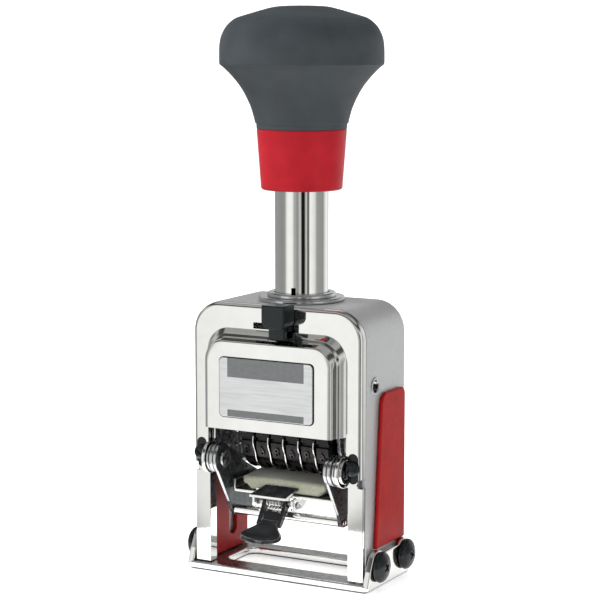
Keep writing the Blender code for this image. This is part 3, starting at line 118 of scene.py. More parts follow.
LEVER_PIVOT = (-0.0106, 0.0226)


# Outlines

def arc(u, v, radius, start, end, steps):
    """Points on an arc from one angle to another, ends included."""
    angles = [start + (end - start) * i / steps for i in range(steps + 1)]
    return [(u + radius * cos(angle), v + radius * sin(angle)) for angle in angles]


def circle(u, v, radius, steps=48):
    return arc(u, v, radius, 0, 4 * QUARTER, steps)[:-1]


def quarter_steps(count, start=0.0):
    """Angles over a quarter turn, both ends included."""
    return [start + QUARTER * i / count for i in range(count + 1)]


def arch(half, bottom, top, radius, steps=14):
    """An open arch with round upper corners, from its lower left end to its lower right end."""
    return ([(-half, bottom)] + arc(radius - half, top - radius, radius, 2 * QUARTER, QUARTER, steps)
            + arc(half - radius, top - radius, radius, QUARTER, 0, steps) + [(half, bottom)])


def rounded(points, radius, steps=5, closed=True):
    """The same outline with its corners rounded. A radius is one number, or one for each point."""
    places = [Vector(point) for point in points]
    count = len(places)
    result = []
    for index, place in enumerate(places):
        size = radius[index] if isinstance(radius, (list, tuple)) else radius
        if not size or (not closed and index in (0, count - 1)):
            result.append(tuple(place))
            continue
        before, after = places[index - 1] - place, places[(index + 1) % count] - place
        turn = before.angle(after)
        if turn > radians(175) or turn < radians(3):
            result.append(tuple(place))
            continue
        reach = min(size / tan(turn / 2), 0.48 * before.length, 0.48 * after.length)
        size = reach * tan(turn / 2)
        centre = place + (before.normalized() + after.normalized()).normalized() * (size / sin(turn / 2))
        first = place + before.normalized() * reach - centre
        last = place + after.normalized() * reach - centre
        sweep = first.angle_signed(last) if first.length > 0 else 0
        for step in range(steps + 1):
            result.append(tuple(centre + Matrix.Rotation(-sweep * step / steps, 2) @ first))
    return result


def rectangle(left, bottom, right, top):
    return [(left, bottom), (right, bottom), (right, top), (left, top)]


def with_legs(outline, leg):
    """An open outline with a leg at its right end, from the leg's foot up, and the mirrored leg at its left."""
    return [(-u, v) for u, v in leg] + outline + list(reversed(leg))


def slot_outline(u, v, half_width, half_height, steps=12):
    """An obround that stands upright."""
    reach = half_height - half_width
    return (arc(u, v + reach, half_width, 0, 2 * QUARTER, steps)
            + arc(u, v - reach, half_width, 2 * QUARTER, 4 * QUARTER, steps))


def ribbon(points, half_widths, steps=10):
    """The outline of a strip along its points, with its own half width at each and round ends."""
    places = [Vector(point) for point in points]
    headings = [(b - a).normalized() for a, b in zip(places, places[1:])]
    headings = [headings[0]] + [(a + b).normalized() for a, b in zip(headings, headings[1:])] + [headings[-1]]
    angles = [atan2(heading.y, heading.x) for heading in headings]
    left = [(p.x - w * sin(t), p.y + w * cos(t)) for p, w, t in zip(places, half_widths, angles)]
    right = [(p.x + w * sin(t), p.y - w * cos(t)) for p, w, t in zip(places, half_widths, angles)]
    end = arc(*places[-1], half_widths[-1], angles[-1] - QUARTER, angles[-1] + QUARTER, steps)
    start = arc(*places[0], half_widths[0], angles[0] + QUARTER, angles[0] + 3 * QUARTER, steps)
    return right[1:-1] + end + list(reversed(left[1:-1])) + start


def smooth_line(points, steps=6):
    """A curve through the points."""
    places = [Vector(point) for point in points]
    places = [2 * places[0] - places[1]] + places + [2 * places[-1] - places[-2]]
    result = []
    for a, b, c, d in zip(places, places[1:], places[2:], places[3:]):
        for step in range(steps):
            t = step / steps
            result.append(0.5 * ((2 * b) + (c - a) * t + (2 * a - 5 * b + 4 * c - d) * t ** 2
                                 + (3 * b - a - 3 * c + d) * t ** 3))
    return [tuple(place) for place in result + [places[-2]]]


# Pieces

def linked(name, data):
    """A new object of the scene."""
    obj = bpy.data.objects.new(name, data)
    bpy.context.scene.collection.objects.link(obj)
    return obj


def piece_from(name, shape, outward=True):
    """A new object from a bmesh, with its faces turned outward or left as they are."""
    if outward:
        bmesh.ops.recalc_face_normals(shape, faces=shape.faces)
    mesh = bpy.data.meshes.new(name)
    shape.to_mesh(mesh)
    shape.free()
    return linked(name, mesh)


def solid(obj):
    """The object's final mesh as a plain object at the origin."""
    bpy.context.view_layer.update()
    graph = bpy.context.evaluated_depsgraph_get()
    mesh = bpy.data.meshes.new_from_object(obj.evaluated_get(graph))
    shape = bmesh.new()
    shape.from_mesh(mesh)
    shape.transform(obj.matrix_world)
    bmesh.ops.remove_doubles(shape, verts=shape.verts, dist=WELD)
    name = obj.name
    bpy.data.objects.remove(obj, do_unlink=True)
    bpy.data.meshes.remove(mesh)
    return piece_from(name, shape)


def curve_through(name, dimensions, lines, bevel, resolution):
    """A curve object through lines of points, which are closed if it is flat."""
    curve = bpy.data.curves.new(name, "CURVE")
    curve.dimensions = dimensions
    curve.bevel_depth = bevel
    curve.bevel_resolution = resolution
    for points in lines:
        spline = curve.splines.new("POLY")
        spline.points.add(len(points) - 1)
        for point, place in zip(spline.points, points):
            point.co = (*place, 1)
        spline.use_cyclic_u = dimensions == "2D"
    return linked(name, curve)


def plate(name, outlines, plane, low, high, edge=EDGE):
    """A flat piece with rounded edges. Its outlines lie in the plane and it stands from low to high across
    it."""
    obj = curve_through(name, "2D", [[(u, v, 0) for u, v in points] for points in outlines], edge, 2)
    obj.data.fill_mode = "BOTH"
    obj.data.extrude = (high - low) / 2 - edge
    obj.data.offset = -edge
    obj.rotation_euler = PLANES[plane]
    obj.location["side front top".split().index(plane)] = (low + high) / 2
    return solid(obj)


def side_plate(name, outlines, sign, inner, outer, edge=EDGE):
    """A plate on one side of the machine, between two distances from its middle."""
    return plate(name, outlines, "side", *sorted((sign * inner, sign * outer)), edge)


def wire(name, points, radius):
    """A round wire along its points."""
    obj = curve_through(name, "3D", [points], radius, 3)
    obj.data.use_fill_caps = True
    return solid(obj)


def skin(shape, rows):
    """Faces between each two rows of corners, all the way round."""
    for lower, upper in zip(rows, rows[1:]):
        for i in range(len(lower)):
            j = (i + 1) % len(lower)
            corners = list(dict.fromkeys((lower[i], lower[j], upper[j], upper[i])))
            if len(corners) > 2:
                shape.faces.new(corners)


def lathe(name, profile, axis="Z", centre=(0, 0, 0), flip=False, steps=96, ring=False):
    """A turned piece. Its profile of radii and heights is closed by itself as a ring, or else at the axis."""
    shape = bmesh.new()
    rows = []
    for radius, height in profile:
        if radius < WELD:
            rows.append([shape.verts.new((0, 0, height))] * steps)
        else:
            rows.append([shape.verts.new((*point, height)) for point in circle(0, 0, radius, steps)])
    skin(shape, rows + rows[:1] if ring else rows)
    turn = Matrix.Rotation(2 * QUARTER, 4, "X") if flip else IDENTITY
    shape.transform(Matrix.Translation(centre) @ AXES[axis] @ turn)
    return piece_from(name, shape)


def rod(name, radius, low, high, axis="Z", centre=(0, 0, 0), **settings):
    """A plain round bar from low to high along its axis."""
    return lathe(name, [(0, low), (radius, low), (radius, high), (0, high)], axis, centre, **settings)


def loft(name, rings, ends=(0, -1)):
    """A skin through closed rings with the same number of points, capped at the given ends."""
    shape = bmesh.new()
    rows = [[shape.verts.new(point) for point in ring] for ring in rings]
    skin(shape, rows)
    for end in ends:
        shape.faces.new(rows[end])
    return piece_from(name, shape)


def block(name, low, high):
    shape = bmesh.new()
    bmesh.ops.create_cube(shape, size=1)
    low, high = Vector(low), Vector(high)
    shape.transform(Matrix.Translation((low + high) / 2) @ Matrix.Diagonal((*(high - low), 1)))
    return piece_from(name, shape)


def helix(axis, centre, radius, start, end, turns, phase=0.0, steps=28):
    """Points on a coil round an axis, from start to end along it."""
    count = int(turns * steps)
    points = []
    for step in range(count + 1):
        angle = phase + 4 * QUARTER * turns * step / count
        place = [centre[0] + radius * cos(angle), centre[1] + radius * sin(angle)]
        place.insert("XYZ".index(axis), start + (end - start) * step / count)
        points.append(tuple(place))
    return points


def thicken(obj, thickness, offset):
    """Gives a skin its thickness: behind it (-1) or on both its sides (0)."""
    wall = obj.modifiers.new("wall", "SOLIDIFY")
    wall.thickness = thickness
    wall.offset = offset
    wall.use_quality_normals = offset < 0
    return solid(obj)


def pressed(name, rings, thickness):
    """A pressed sheet. Its rings run from the rim to the face, which closes the last one. A shorter ring meets
    the middle of a longer one, whose ends are left as legs."""
    shape = bmesh.new()
    rows = [[shape.verts.new(point) for point in ring] for ring in rings]
    for outer, inner in zip(rows, rows[1:]):
        spare = (len(outer) - len(inner)) // 2
        outer = outer[spare:len(outer) - spare] if spare > 0 else outer
        inner = inner[-spare:len(inner) + spare] if spare < 0 else inner
        for i in range(len(inner) - 1):
            shape.faces.new((outer[i], inner[i], inner[i + 1], outer[i + 1]))
    shape.faces.new(list(reversed(rows[-1])))
    return thicken(piece_from(name, shape, outward=False), thickness, -1)


def cut(obj, *cutters):
    """Cuts the other pieces from this one."""
    for cutter in cutters:
        modifier = obj.modifiers.new("cut", "BOOLEAN")
        modifier.object = cutter
        modifier.solver = "EXACT"
    result = solid(obj)
    for cutter in cutters:
        bpy.data.objects.remove(cutter, do_unlink=True)
    return result


def merged(name, *objects):
    """One object made of several, each of which stays a closed shape of its own."""
    shape = bmesh.new()
    for obj in objects:
        shape.from_mesh(obj.data)
        bpy.data.objects.remove(obj, do_unlink=True)
    return piece_from(name, shape)


def moved(obj, place, *rotations):
    """The object, turned by each angle and axis in order and then taken to its place."""
    matrix = Matrix.Translation(place)
    for angle, axis in reversed(rotations):
        matrix = matrix @ Matrix.Rotation(angle, 4, axis)
    obj.data.transform(matrix)
    return obj


def finish_faces(obj, finishes, choose):
    """Gives each face one of the finishes, by the number that choose finds from its normal and its centre."""
    for finish in finishes:
        obj.data.materials.append(MATERIALS[finish])
    for polygon in obj.data.polygons:
        polygon.material_index = choose(polygon.normal, polygon.center)


def dress(obj, finish, body, slot, *nodes, sharp=SHARP):
    """Finishes a piece: its material where its faces have none, its shading, the body it rides on, and the nodes
    it stands for."""
    if finish:
        obj.data.materials.append(MATERIALS[finish])
    obj.data.shade_smooth()
    obj.data.set_sharp_from_angle(angle=sharp)
    obj.modifiers.new("normals", "WEIGHTED_NORMAL").keep_sharp = True
    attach(obj, body)
    if nodes:
        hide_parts(*nodes)


def dress_node(name, finish):
    """Gives a CAD node that stays visible its material and softer edges."""
    obj = NODES[name]
    obj.data.materials.clear()
    obj.data.materials.append(MATERIALS[finish])
    obj.modifiers.new("weld", "WELD").merge_threshold = WELD
    soften = obj.modifiers.new("edges", "BEVEL")
    soften.width = NODE_EDGE
    soften.segments = 2
    soften.limit_method = "ANGLE"
    soften.angle_limit = SHARP
    obj.modifiers.new("normals", "WEIGHTED_NORMAL").keep_sharp = True


# Materials

class Surface:
    """A material being made: its shader, and the nodes that feed it."""

    def __init__(self, name, colour, roughness, metallic=0.0, **sockets):
        self.material = bpy.data.materials.new(name)
        self.material.use_nodes = True
        self.tree = self.material.node_tree
        self.shader = self.tree.nodes["Principled BSDF"]
        self.set("Base Color", (*colour, 1))
        self.set("Roughness", roughness)
        self.set("Metallic", metallic)
        for key, value in sockets.items():
            self.set(key.replace("_", " ").title().replace("Ior", "IOR"), value)
        self.place = self.node("TexCoord").outputs["Object"]
        self.normal = None

    def set(self, socket, value):
        self.feed(self.shader.inputs[socket], value)

    def feed(self, socket, value):
        if isinstance(value, bpy.types.NodeSocket):
            self.tree.links.new(value, socket)
        elif value is not None:
            socket.default_value = value

    def feed_all(self, node, **values):
        for name, value in values.items():
            self.feed(node.inputs[name], value)

    def node(self, kind, *inputs, **settings):
        made = self.tree.nodes.new("ShaderNode" + kind)
        for key, value in settings.items():
            setattr(made, key, value)
        for socket, value in zip(made.inputs, inputs):
            self.feed(socket, value)
        return made

    def maths(self, operation, *values):
        return self.node("Math", *values, operation=operation).outputs[0]

    def grain(self, size, detail=2.0, stretch=(1, 1, 1), rough=0.5):
        """Noise from 0 to 1 with patches of about this size in metres."""
        scaled = self.node("VectorMath", self.place, tuple(s / size for s in stretch), operation="MULTIPLY")
        made = self.node("TexNoise")
        self.feed_all(made, Vector=scaled.outputs[0], Scale=1.0, Detail=detail, Roughness=rough)
        return made.outputs["Fac"]

    def spread(self, value, low, high, from_low=0.3, from_high=0.7):
        return self.node("MapRange", value, from_low, from_high, low, high).outputs[0]

    def blend(self, share, first, second):
        made = self.node("Mix", data_type="RGBA")
        self.feed(made.inputs[0], share)
        for socket, colour in ((made.inputs[6], first), (made.inputs[7], second)):
            self.feed(socket, colour if isinstance(colour, bpy.types.NodeSocket) else (*colour, 1))
        return made.outputs[2]

    def colours(self, share, first, second):
        """Mottles the colour between two, by a noise."""
        self.set("Base Color", self.blend(self.spread(share, 0, 1), first, second))

    def gloss(self, share, low, high):
        """Varies the roughness between two values, by a noise."""
        self.set("Roughness", self.spread(share, low, high))

    def bump(self, height, distance):
        made = self.node("Bump")
        self.feed_all(made, Strength=1.0, Distance=distance, Height=height, Normal=self.normal)
        self.normal = made.outputs[0]
        self.set("Normal", self.normal)

    def edges(self, radius, low=0.985, high=0.80):
        """A mask that is 1 on edges and 0 on flats."""
        soft = self.node("Bevel", radius, samples=6)
        plain = self.node("NewGeometry")
        facing = self.node("VectorMath", soft.outputs[0], plain.outputs["Normal"], operation="DOT_PRODUCT")
        return self.spread(facing.outputs["Value"], 0.0, 1.0, low, high)


def plastic(name, colour, roughness, grain=0.00025, depth=0.000004, gloss=0.25):
    """A moulded plastic or painted surface with a fine grain and slightly uneven colour and gloss."""
    made = Surface(name, colour, roughness, coat_roughness=0.12, specular_ior_level=gloss)
    darker = tuple(0.88 * value for value in colour)
    lighter = tuple(min(1.0, 1.07 * value) for value in colour)
    made.colours(made.grain(0.006, 3), darker, lighter)
    made.gloss(made.grain(0.002, 4), roughness * 0.85, roughness * 1.15)
    made.bump(made.grain(grain, 2), depth)
    return made


def metal(name, colour, roughness, wave=0.0, scratch=0.0, grain=0.0, spots=0.05):
    """Bare metal: uneven polish, faint waves of the sheet, fine scratches and grain."""
    made = Surface(name, colour, roughness, 1.0)
    made.colours(made.grain(0.004, 4), tuple(value * (1 - spots) for value in colour), colour)
    made.gloss(made.grain(0.0015, 5), roughness * 0.7, roughness * 1.4)
    if wave:
        made.bump(made.grain(0.011, 1), wave)
    if scratch:
        made.bump(made.grain(0.0006, 3, (0.08, 1, 1)), scratch)
    if grain:
        made.bump(made.grain(0.00022, 2), grain)
    return made


def grip_rubber():
    made = Surface("grip_rubber", (0.030, 0.036, 0.041), 0.55, specular_ior_level=0.35)
    fine = made.grain(0.00035, 3, rough=0.65)
    made.colours(made.grain(0.009, 3), (0.026, 0.032, 0.036), (0.035, 0.042, 0.047))
    made.gloss(fine, 0.5, 0.66)
    made.bump(fine, 0.000018)
    return made


def silver_paint():
    """Metallic paint with fine flakes."""
    made = Surface("silver_paint", (0.42, 0.425, 0.43), 0.42, 0.72, coat_weight=0.25, coat_roughness=0.3)
    made.colours(made.grain(0.00018, 1), (0.40, 0.405, 0.41), (0.60, 0.605, 0.61))
    made.gloss(made.grain(0.0012, 4), 0.36, 0.50)
    made.bump(made.grain(0.0003, 2), 0.000009)
    return made


def worn_black():
    """Black enamel with its edges painted bright: a painted highlight along the edges, partly edge wear, broken
    up by a noise.
    """
    made = Surface("worn_black", (0.014, 0.015, 0.017), 0.26, 0.4, coat_weight=0.2, coat_roughness=0.15)
    # Painted highlight: the edge mask times a noise lightens the colour and raises the metallic along the edges,
    # partly standing for rubbed-through wear.
    edge_highlight_and_wear = made.maths("MULTIPLY", made.edges(0.0003), made.spread(made.grain(0.0008, 4), 0.3, 1.0))
    made.set("Base Color", made.blend(edge_highlight_and_wear, (0.014, 0.015, 0.017), (0.50, 0.50, 0.49)))
    made.set("Metallic", made.spread(edge_highlight_and_wear, 0.3, 1.0, 0, 1))
    return made


def gunmetal():
    """Cloudy blued steel with bright edges painted into its colour: a painted highlight along the edges, partly
    edge wear.
    """
    made = Surface("gunmetal", (0.075, 0.083, 0.088), 0.3, 0.85)
    # Painted highlight: the edge mask times a noise turns the colour pale along the edges, partly standing for
    # wear.
    edge_highlight_and_wear = made.maths("MULTIPLY", made.edges(0.0004), made.spread(made.grain(0.0012, 4), 0.5, 1))
    cloudy = made.blend(made.spread(made.grain(0.003, 4), 0, 1), (0.045, 0.052, 0.056), (0.115, 0.122, 0.126))
    made.set("Base Color", made.blend(edge_highlight_and_wear, cloudy, (0.75, 0.75, 0.74)))
    made.gloss(made.grain(0.0015, 4), 0.22, 0.42)
    return made


def wheel_black():
    """Black steel with dried ink on it."""
    made = Surface("wheel_black", (0.016, 0.014, 0.014), 0.33, 0.5)
    inked = made.grain(0.0018, 4)
    made.colours(inked, (0.009, 0.009, 0.010), (0.030, 0.025, 0.024))
    made.gloss(inked, 0.24, 0.5)
    return made


def type_metal():
    made = Surface("type_metal", (0.20, 0.20, 0.20), 0.24, 1.0)
    made.colours(made.grain(0.0012, 4), (0.015, 0.015, 0.015), (0.075, 0.072, 0.070))
    return made


def pad_felt():
    """Olive felt with fibres and soft hollows."""
    made = Surface("pad_felt", (0.305, 0.283, 0.188), 0.95, sheen_weight=0.4, sheen_roughness=0.5)
    fibre = made.grain(0.00028, 4, (1, 1, 0.35), 0.7)
    made.colours(fibre, (0.215, 0.220, 0.165), (0.350, 0.350, 0.270))
    made.bump(fibre, 0.00007)
    made.bump(made.grain(0.0022, 3), 0.00012)
    return made


def printed_label():
    """Printed aluminium: a tall grey band above and a thin one below, on a silver ground."""
    made = Surface("label_aluminium", (0.60, 0.605, 0.615), 0.34, 0.55)
    place = made.node("SeparateXYZ", made.place).outputs
    middle = made.maths("LESS_THAN", made.maths("ABSOLUTE", place["X"]), LABEL_BAND_HALF)
    bands = []
    for low, high in LABEL_BANDS:
        bands.append(made.maths("MULTIPLY", made.maths("GREATER_THAN", place["Z"], low),
                                made.maths("LESS_THAN", place["Z"], high)))
    band = made.maths("MULTIPLY", middle, made.maths("MAXIMUM", *bands))
    brushed = made.grain(0.0005, 3, (0.05, 1, 1))
    ground = made.blend(made.spread(brushed, 0, 1), (0.46, 0.47, 0.475), (0.56, 0.57, 0.575))
    grey = made.blend(made.spread(made.grain(0.0012, 4), 0, 1), (0.082, 0.086, 0.088), (0.105, 0.110, 0.112))
    made.set("Base Color", made.blend(band, ground, grey))
    made.set("Metallic", made.spread(band, 0.55, 0.0, 0, 1))
    made.bump(brushed, 0.000004)
    return made


def make_materials():
    """Every finish of the machine by name."""
    surfaces = {
        "rubber": grip_rubber(),
        "collar": plastic("collar_red", (0.29, 0.006, 0.012), 0.36, gloss=0.12),
        "red": plastic("cover_red", (0.245, 0.005, 0.005), 0.36, gloss=0.1),
        "paint": silver_paint(),
        "chrome": metal("chrome", (0.86, 0.86, 0.845), 0.055, wave=0.000035),
        "rear_chrome": metal("rear_chrome", (0.84, 0.84, 0.83), 0.09, wave=0.00005),
        "steel": metal("satin_steel", (0.52, 0.53, 0.54), 0.28, grain=0.000004, spots=0.2),
        "turned": metal("turned_steel", (0.62, 0.63, 0.64), 0.2, grain=0.000003, spots=0.15),
        "wire": metal("spring_steel", (0.72, 0.72, 0.71), 0.12, scratch=0.000004),
        "brushed": metal("brushed_bar", (0.42, 0.43, 0.43), 0.3, scratch=0.00002, spots=0.3),
        "black": plastic("black_enamel", (0.006, 0.008, 0.009), 0.16, depth=0.000003, gloss=0.3),
        "screw": plastic("black_screw", (0.006, 0.008, 0.009), 0.2, depth=0.000003, gloss=0.3),
        "black_edge_highlight": worn_black(),
        "gunmetal": gunmetal(),
        "wheel": wheel_black(),
        "digit": type_metal(),
        "felt": pad_felt(),
        "label": printed_label(),
        "dial": metal("dial_aluminium", (0.62, 0.63, 0.64), 0.3, scratch=0.000006, spots=0.1),
        "ink": plastic("printing_ink", (0.012, 0.012, 0.013), 0.5),
    }
    return {name: surface.material for name, surface in surfaces.items()}


# The body

BODY = "frame"


def make_base():
    """The base: a plate with its window, ears bent up at its sides, and four truss-head screws."""
    half, front, back = 0.0308, -0.0170, 0.0130
    outer = rounded(rectangle(-half, front, half, back), 0.0016)
    window = rounded(rectangle(-0.022, -0.009, 0.022, 0.0072), 0.0032, 8)
    parts = [plate("floor_plate", [outer, window], "top", 0, 0.0024, 0.0006)]
    lobe, rise = 0.0049, BASE_SCREW_Z
    first, second = BASE_SCREW_ROWS["front"], BASE_SCREW_ROWS["rear"]
    ear = ([(front + 0.0002, 0.0006), (front + 0.0002, 0.0016), (front + 0.0020, 0.0062)]
           + arc(first, rise, lobe, 3 * pi / 4, pi / 4, 12)
           + [((first + second) / 2 - 0.001, rise + 0.0036), ((first + second) / 2 + 0.001, rise + 0.0036)]
           + arc(second, rise, lobe, 3 * pi / 4, pi / 8, 12)
           + [(back - 0.0002, rise), (back - 0.0002, 0.0006)])
    holes = [circle(y, rise, 0.0023, 32) for y in (first, second)]
    for sign in SIDES.values():
        parts.append(side_plate("ear", [rounded(ear, 0.0012, 3)] + holes, sign, 0.0293, 0.0313, 0.0004))
    base = merged("base_pressing", *parts)

    def choose(normal, centre):
        # Faces on the underside's lower edge take the dark finish (2): painted shade along the base's bottom
        # edge.
        if normal.z < -0.2 and centre.z < 0.0005:
            return 2
        return int(normal.z > 0.99 and 0.002 < centre.z < 0.003 and abs(centre.x) < half)

    finish_faces(base, ("chrome", "brushed", "gunmetal"), choose)
    dress(base, None, BODY, "chrome", "base_frame")
    for side, sign in SIDES.items():
        for row, y in BASE_SCREW_ROWS.items():
            make_base_screw(row + "_" + side, sign, y)


def make_base_screw(name, sign, y):
    """A truss-head screw with a cross recess."""
    radius, height = 0.0047, 0.0026
    dome = [(radius * sin(t), 0.0004 + (height - 0.0004) * cos(t) ** 0.9)
            for t in quarter_steps(12)[:-1]]
    profile = [(0, height)] + dome[1:] + [(radius, 0.0005), (radius - 0.0002, 0), (0.002, 0), (0.002, -0.0036),
                                          (0, -0.0036)]
    head = lathe(name + "_truss_screw", profile, steps=64)
    half, reach = 0.00045, 0.0022
    opening = [(x, y, height + 0.001) for x, y in rectangle(-reach, -half, reach, half)]
    floor = [(x, y, height - 0.0019) for x, y in rectangle(-half, -half * 0.7, half, half * 0.7)]
    head = cut(head, *(moved(loft("slot", [opening, floor]), (0, 0, 0), (turn, "Z")) for turn in (0, QUARTER)))
    angle = radians(20 + 31 * (y > 0) + 13 * sign)
    moved(head, (sign * BASE_SCREW_X, y, BASE_SCREW_Z), (angle, "Z"), (sign * QUARTER, "Y"))
    dress(head, "screw", BODY, "black_screws", name + "_base_screw")


def make_body():
    """The painted body strip with its eyelets, the side covers and the liners."""
    outer = arch(BODY_HALF, BODY_BOTTOM, BODY_TOP, BODY_RADIUS, 20)
    inner = arch(BODY_INSIDE, BODY_BOTTOM, BODY_TOP - BODY_WALL, BODY_RADIUS - BODY_WALL, 20)
    shell = plate("body_strip", [outer + list(reversed(inner))], "front", BODY_FRONT, BODY_BACK, 0.0003)
    reach = BODY_HALF + 0.002
    cutters = [rod("c", 0.0099, 0.080, 0.086), rod("c", 0.00235, -reach, reach, "X", (0, *EYELET))]
    for y in BASE_SCREW_ROWS.values():
        cutters.append(rod("c", 0.0023, -reach, reach, "X", (0, y, BASE_SCREW_Z), steps=32))
    dress(cut(shell, *cutters), "paint", BODY, "silver_paint", "body_shell")
    for side, sign in SIDES.items():
        ring = rounded([(0.00190, -0.0016), (0.00233, -0.0016), (0.00233, 0.0), (0.00285, 0.0), (0.00275, 0.0003),
                        (0.0021, 0.0003), (0.0019, 0.0)], 0.0002, 3)
        rim = lathe(side + "_eyelet", ring, "X", (sign * BODY_HALF, *EYELET), flip=sign < 0, steps=48, ring=True)
        dress(rim, "turned", BODY, "silver_paint")
        make_side_cover(side, sign)


def make_side_cover(side, sign):
    """The red cover on the outside and the red liner on the inside of one wall."""
    front, back, bottom, top = -0.0091, 0.0103, 0.0116, 0.0583
    cover = rounded([(back, bottom), (back, top), (front + 0.0038, top), (front, bottom)],
                    [0.0004, 0.0022, 0.0034, 0.0004], 8)
    piece = side_plate(side + "_cover_moulding", [cover], sign, BODY_HALF + 0.00005, BODY_HALF + 0.0013, 0.0005)
    dress(piece, "red", BODY, "red_plastic", side + "_side_cover")
    front, back, top = *(corner.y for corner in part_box(side + "_side_liner")), 0.0306
    step = BODY_BOTTOM + (top - BODY_BOTTOM) * 0.42
    outline = rounded([(front, BODY_BOTTOM), (back, BODY_BOTTOM), (back, step - 0.0022), (back - 0.0022, step),
                       (back - 0.0022, top), (front, top)], 0.0006, 3)
    slot = slot_outline(0.0022, (BODY_BOTTOM + top) / 2, 0.0022, (top - BODY_BOTTOM) / 2 - 0.0046)
    liner = side_plate(side + "_liner_moulding", [outline, slot], sign, BODY_INSIDE - 0.0015,
                       BODY_INSIDE - 0.0003, 0.0003)
    dress(liner, "red", BODY, "red_plastic", side + "_side_liner")


# The bulge's step from the cover out to its face, as shares of its inset and of its depth
BULGE_SECTION = [(0.0, 0.0), (0.27, 0.36), (0.46, 0.46), (0.62, 0.93), (1.0, 1.0)]


def make_cover():
    """The chrome cover: rolled rim, plate with two legs, and the stepped bulge."""
    roll, corner, radius = 0.0013, 0.0026, BODY_RADIUS - 0.0002
    rings = []
    for step in range(7):
        turn = QUARTER * step / 7
        inset = roll * (1 - cos(turn))
        half = COVER_HALF - inset
        y = BODY_FRONT - 0.00005 if step == 0 else COVER_FRONT + roll * (1 - sin(turn))
        edge = arch(half, BULGE_BOTTOM, COVER_TOP - inset, radius - inset, 16)
        rings.append([(x, y, z) for x, z in with_legs(edge, [(half, COVER_BOTTOM + corner)])])
    leg = [(COVER_HALF - corner + (corner - roll) * cos(t), COVER_BOTTOM + corner + corner * sin(t))
           for t in quarter_steps(6, -QUARTER)]
    edge = arch(COVER_HALF - roll, BULGE_BOTTOM, COVER_TOP - roll, radius - roll, 16)
    window = arch(BULGE_HALF, BULGE_BOTTOM, BULGE_TOP, BULGE_RADIUS, 16)
    for outline in (with_legs(edge, leg), with_legs(window, [(BULGE_HALF, z) for _, z in leg])):
        rings.append([(x, COVER_FRONT, z) for x, z in outline])
    section = rounded([(-0.3, 0.0)] + BULGE_SECTION, [0, 0.16, 0.10, 0.09, 0.12, 0], 5, closed=False)[2:]
    for inset, depth in section:
        inset = max(inset, 0.0)
        ring = arch(BULGE_HALF - inset * 0.0037, BULGE_BOTTOM, BULGE_TOP - inset * 0.0052,
                    BULGE_RADIUS - inset * 0.0022, 16)
        rings.append([(x, COVER_FRONT - depth * BULGE_DEPTH, z) for x, z in ring])
    cover = pressed("cover_pressing", rings, 0.0008)
    front, back = COVER_FRONT - 0.003, COVER_BACK + 0.003
    cutters = [plate("c", [rounded(rectangle(-0.0077, 0.0767, 0.0062, 0.0786), 0.0003, 3)], "front", front, back)]
    for sign in SIDES.values():
        outline = slot_outline(sign * COVER_SCREW[0], COVER_SCREW[1], 0.0017, 0.0046)
        cutters.append(plate("c", [outline], "front", front, back))
    dress(cut(cover, *cutters), "chrome", BODY, "chrome", "front_cover", sharp=radians(50))
    for side, sign in SIDES.items():
        make_cover_screw(side, sign)
    make_name_plate()


def make_cover_screw(side, sign):
    """A black screw with a dark plate behind it in the cover's slot: the plate is painted shade in the slot."""
    x, z = sign * COVER_SCREW[0], COVER_SCREW[1]
    radius, height = 0.0023, 0.0016
    dome = [(radius * sin(t), height * cos(t) ** 0.8) for t in quarter_steps(8)[:-1]]
    profile = [(0, height)] + dome[1:] + [(radius, 0.0001), (0.001, 0), (0.001, -0.0018), (0, -0.0018)]
    head = lathe("head", profile, steps=40)
    head = cut(head, block("slot", (-0.003, -0.0003, height - 0.0006), (0.003, 0.0003, height + 0.001)))
    moved(head, (x, COVER_FRONT - 0.0003, z), (0.7 * sign, "Z"), (QUARTER, "X"))
    # The dark obround plate behind the screw fills the slot with painted shade.
    washer = plate("washer", [slot_outline(x, z, 0.0016, 0.0045)], "front", COVER_FRONT + 0.0001, COVER_BACK)
    dress(merged(side + "_slot_screw", head, washer), "screw", BODY, "black_screws", side + "_cover_screw")


def make_name_plate():
    """The bare printed plate on a thin dark sheet whose rim shows round it as painted shade of its recess."""
    half, low, high, face = 0.0161, 0.0501, 0.0686, BULGE_FRONT
    # The first layer, a little larger than the printed plate, is a dark sheet whose rim is painted shade round
    # the plate.
    for name, finish, inset, radius, front, back, edge, nodes in (
            ("plate_shade_rim", "ink", 0.0, 0.0015, -0.00025, 0.0001, 0.00005, ()),
            ("plate_printed", "label", 0.0003, 0.0013, -0.0006, -0.0002, 0.0001, ("name_plate",))):
        outline = rounded(rectangle(inset - half, low + inset, half - inset, high - inset), radius)
        layer = plate(name, [outline], "front", face + front, face + back, edge)
        dress(layer, finish, BODY, "plate_aluminium", *nodes)


def make_back():
    """The rear cover, with the dial on it."""
    half, top, radius = BODY_INSIDE - 0.0003, BODY_TOP - BODY_WALL - 0.0003, BODY_RADIUS - BODY_WALL - 0.0003
    low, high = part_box("rear_cover")
    bottom, face = low.z, high.y
    rings = [[(x, face - 0.0015, z) for x, z in reversed(arch(half, bottom, top, radius, 16))]]
    for step in range(6):
        turn = QUARTER * step / 5
        inset = 0.0010 * (1 - cos(turn))
        edge = arch(half - inset, bottom, top - inset, radius - inset, 16)
        rings.append([(x, face - 0.0010 * (1 - sin(turn)), z) for x, z in reversed(edge)])
    hole = rod("c", 0.0015, -0.004, 0.004, "Y", (0, face, DIAL_Z), steps=32)
    dress(cut(pressed("rear_pressing", rings, 0.0010), hole), "rear_chrome", BODY, "chrome", "rear_cover")
    make_dial()


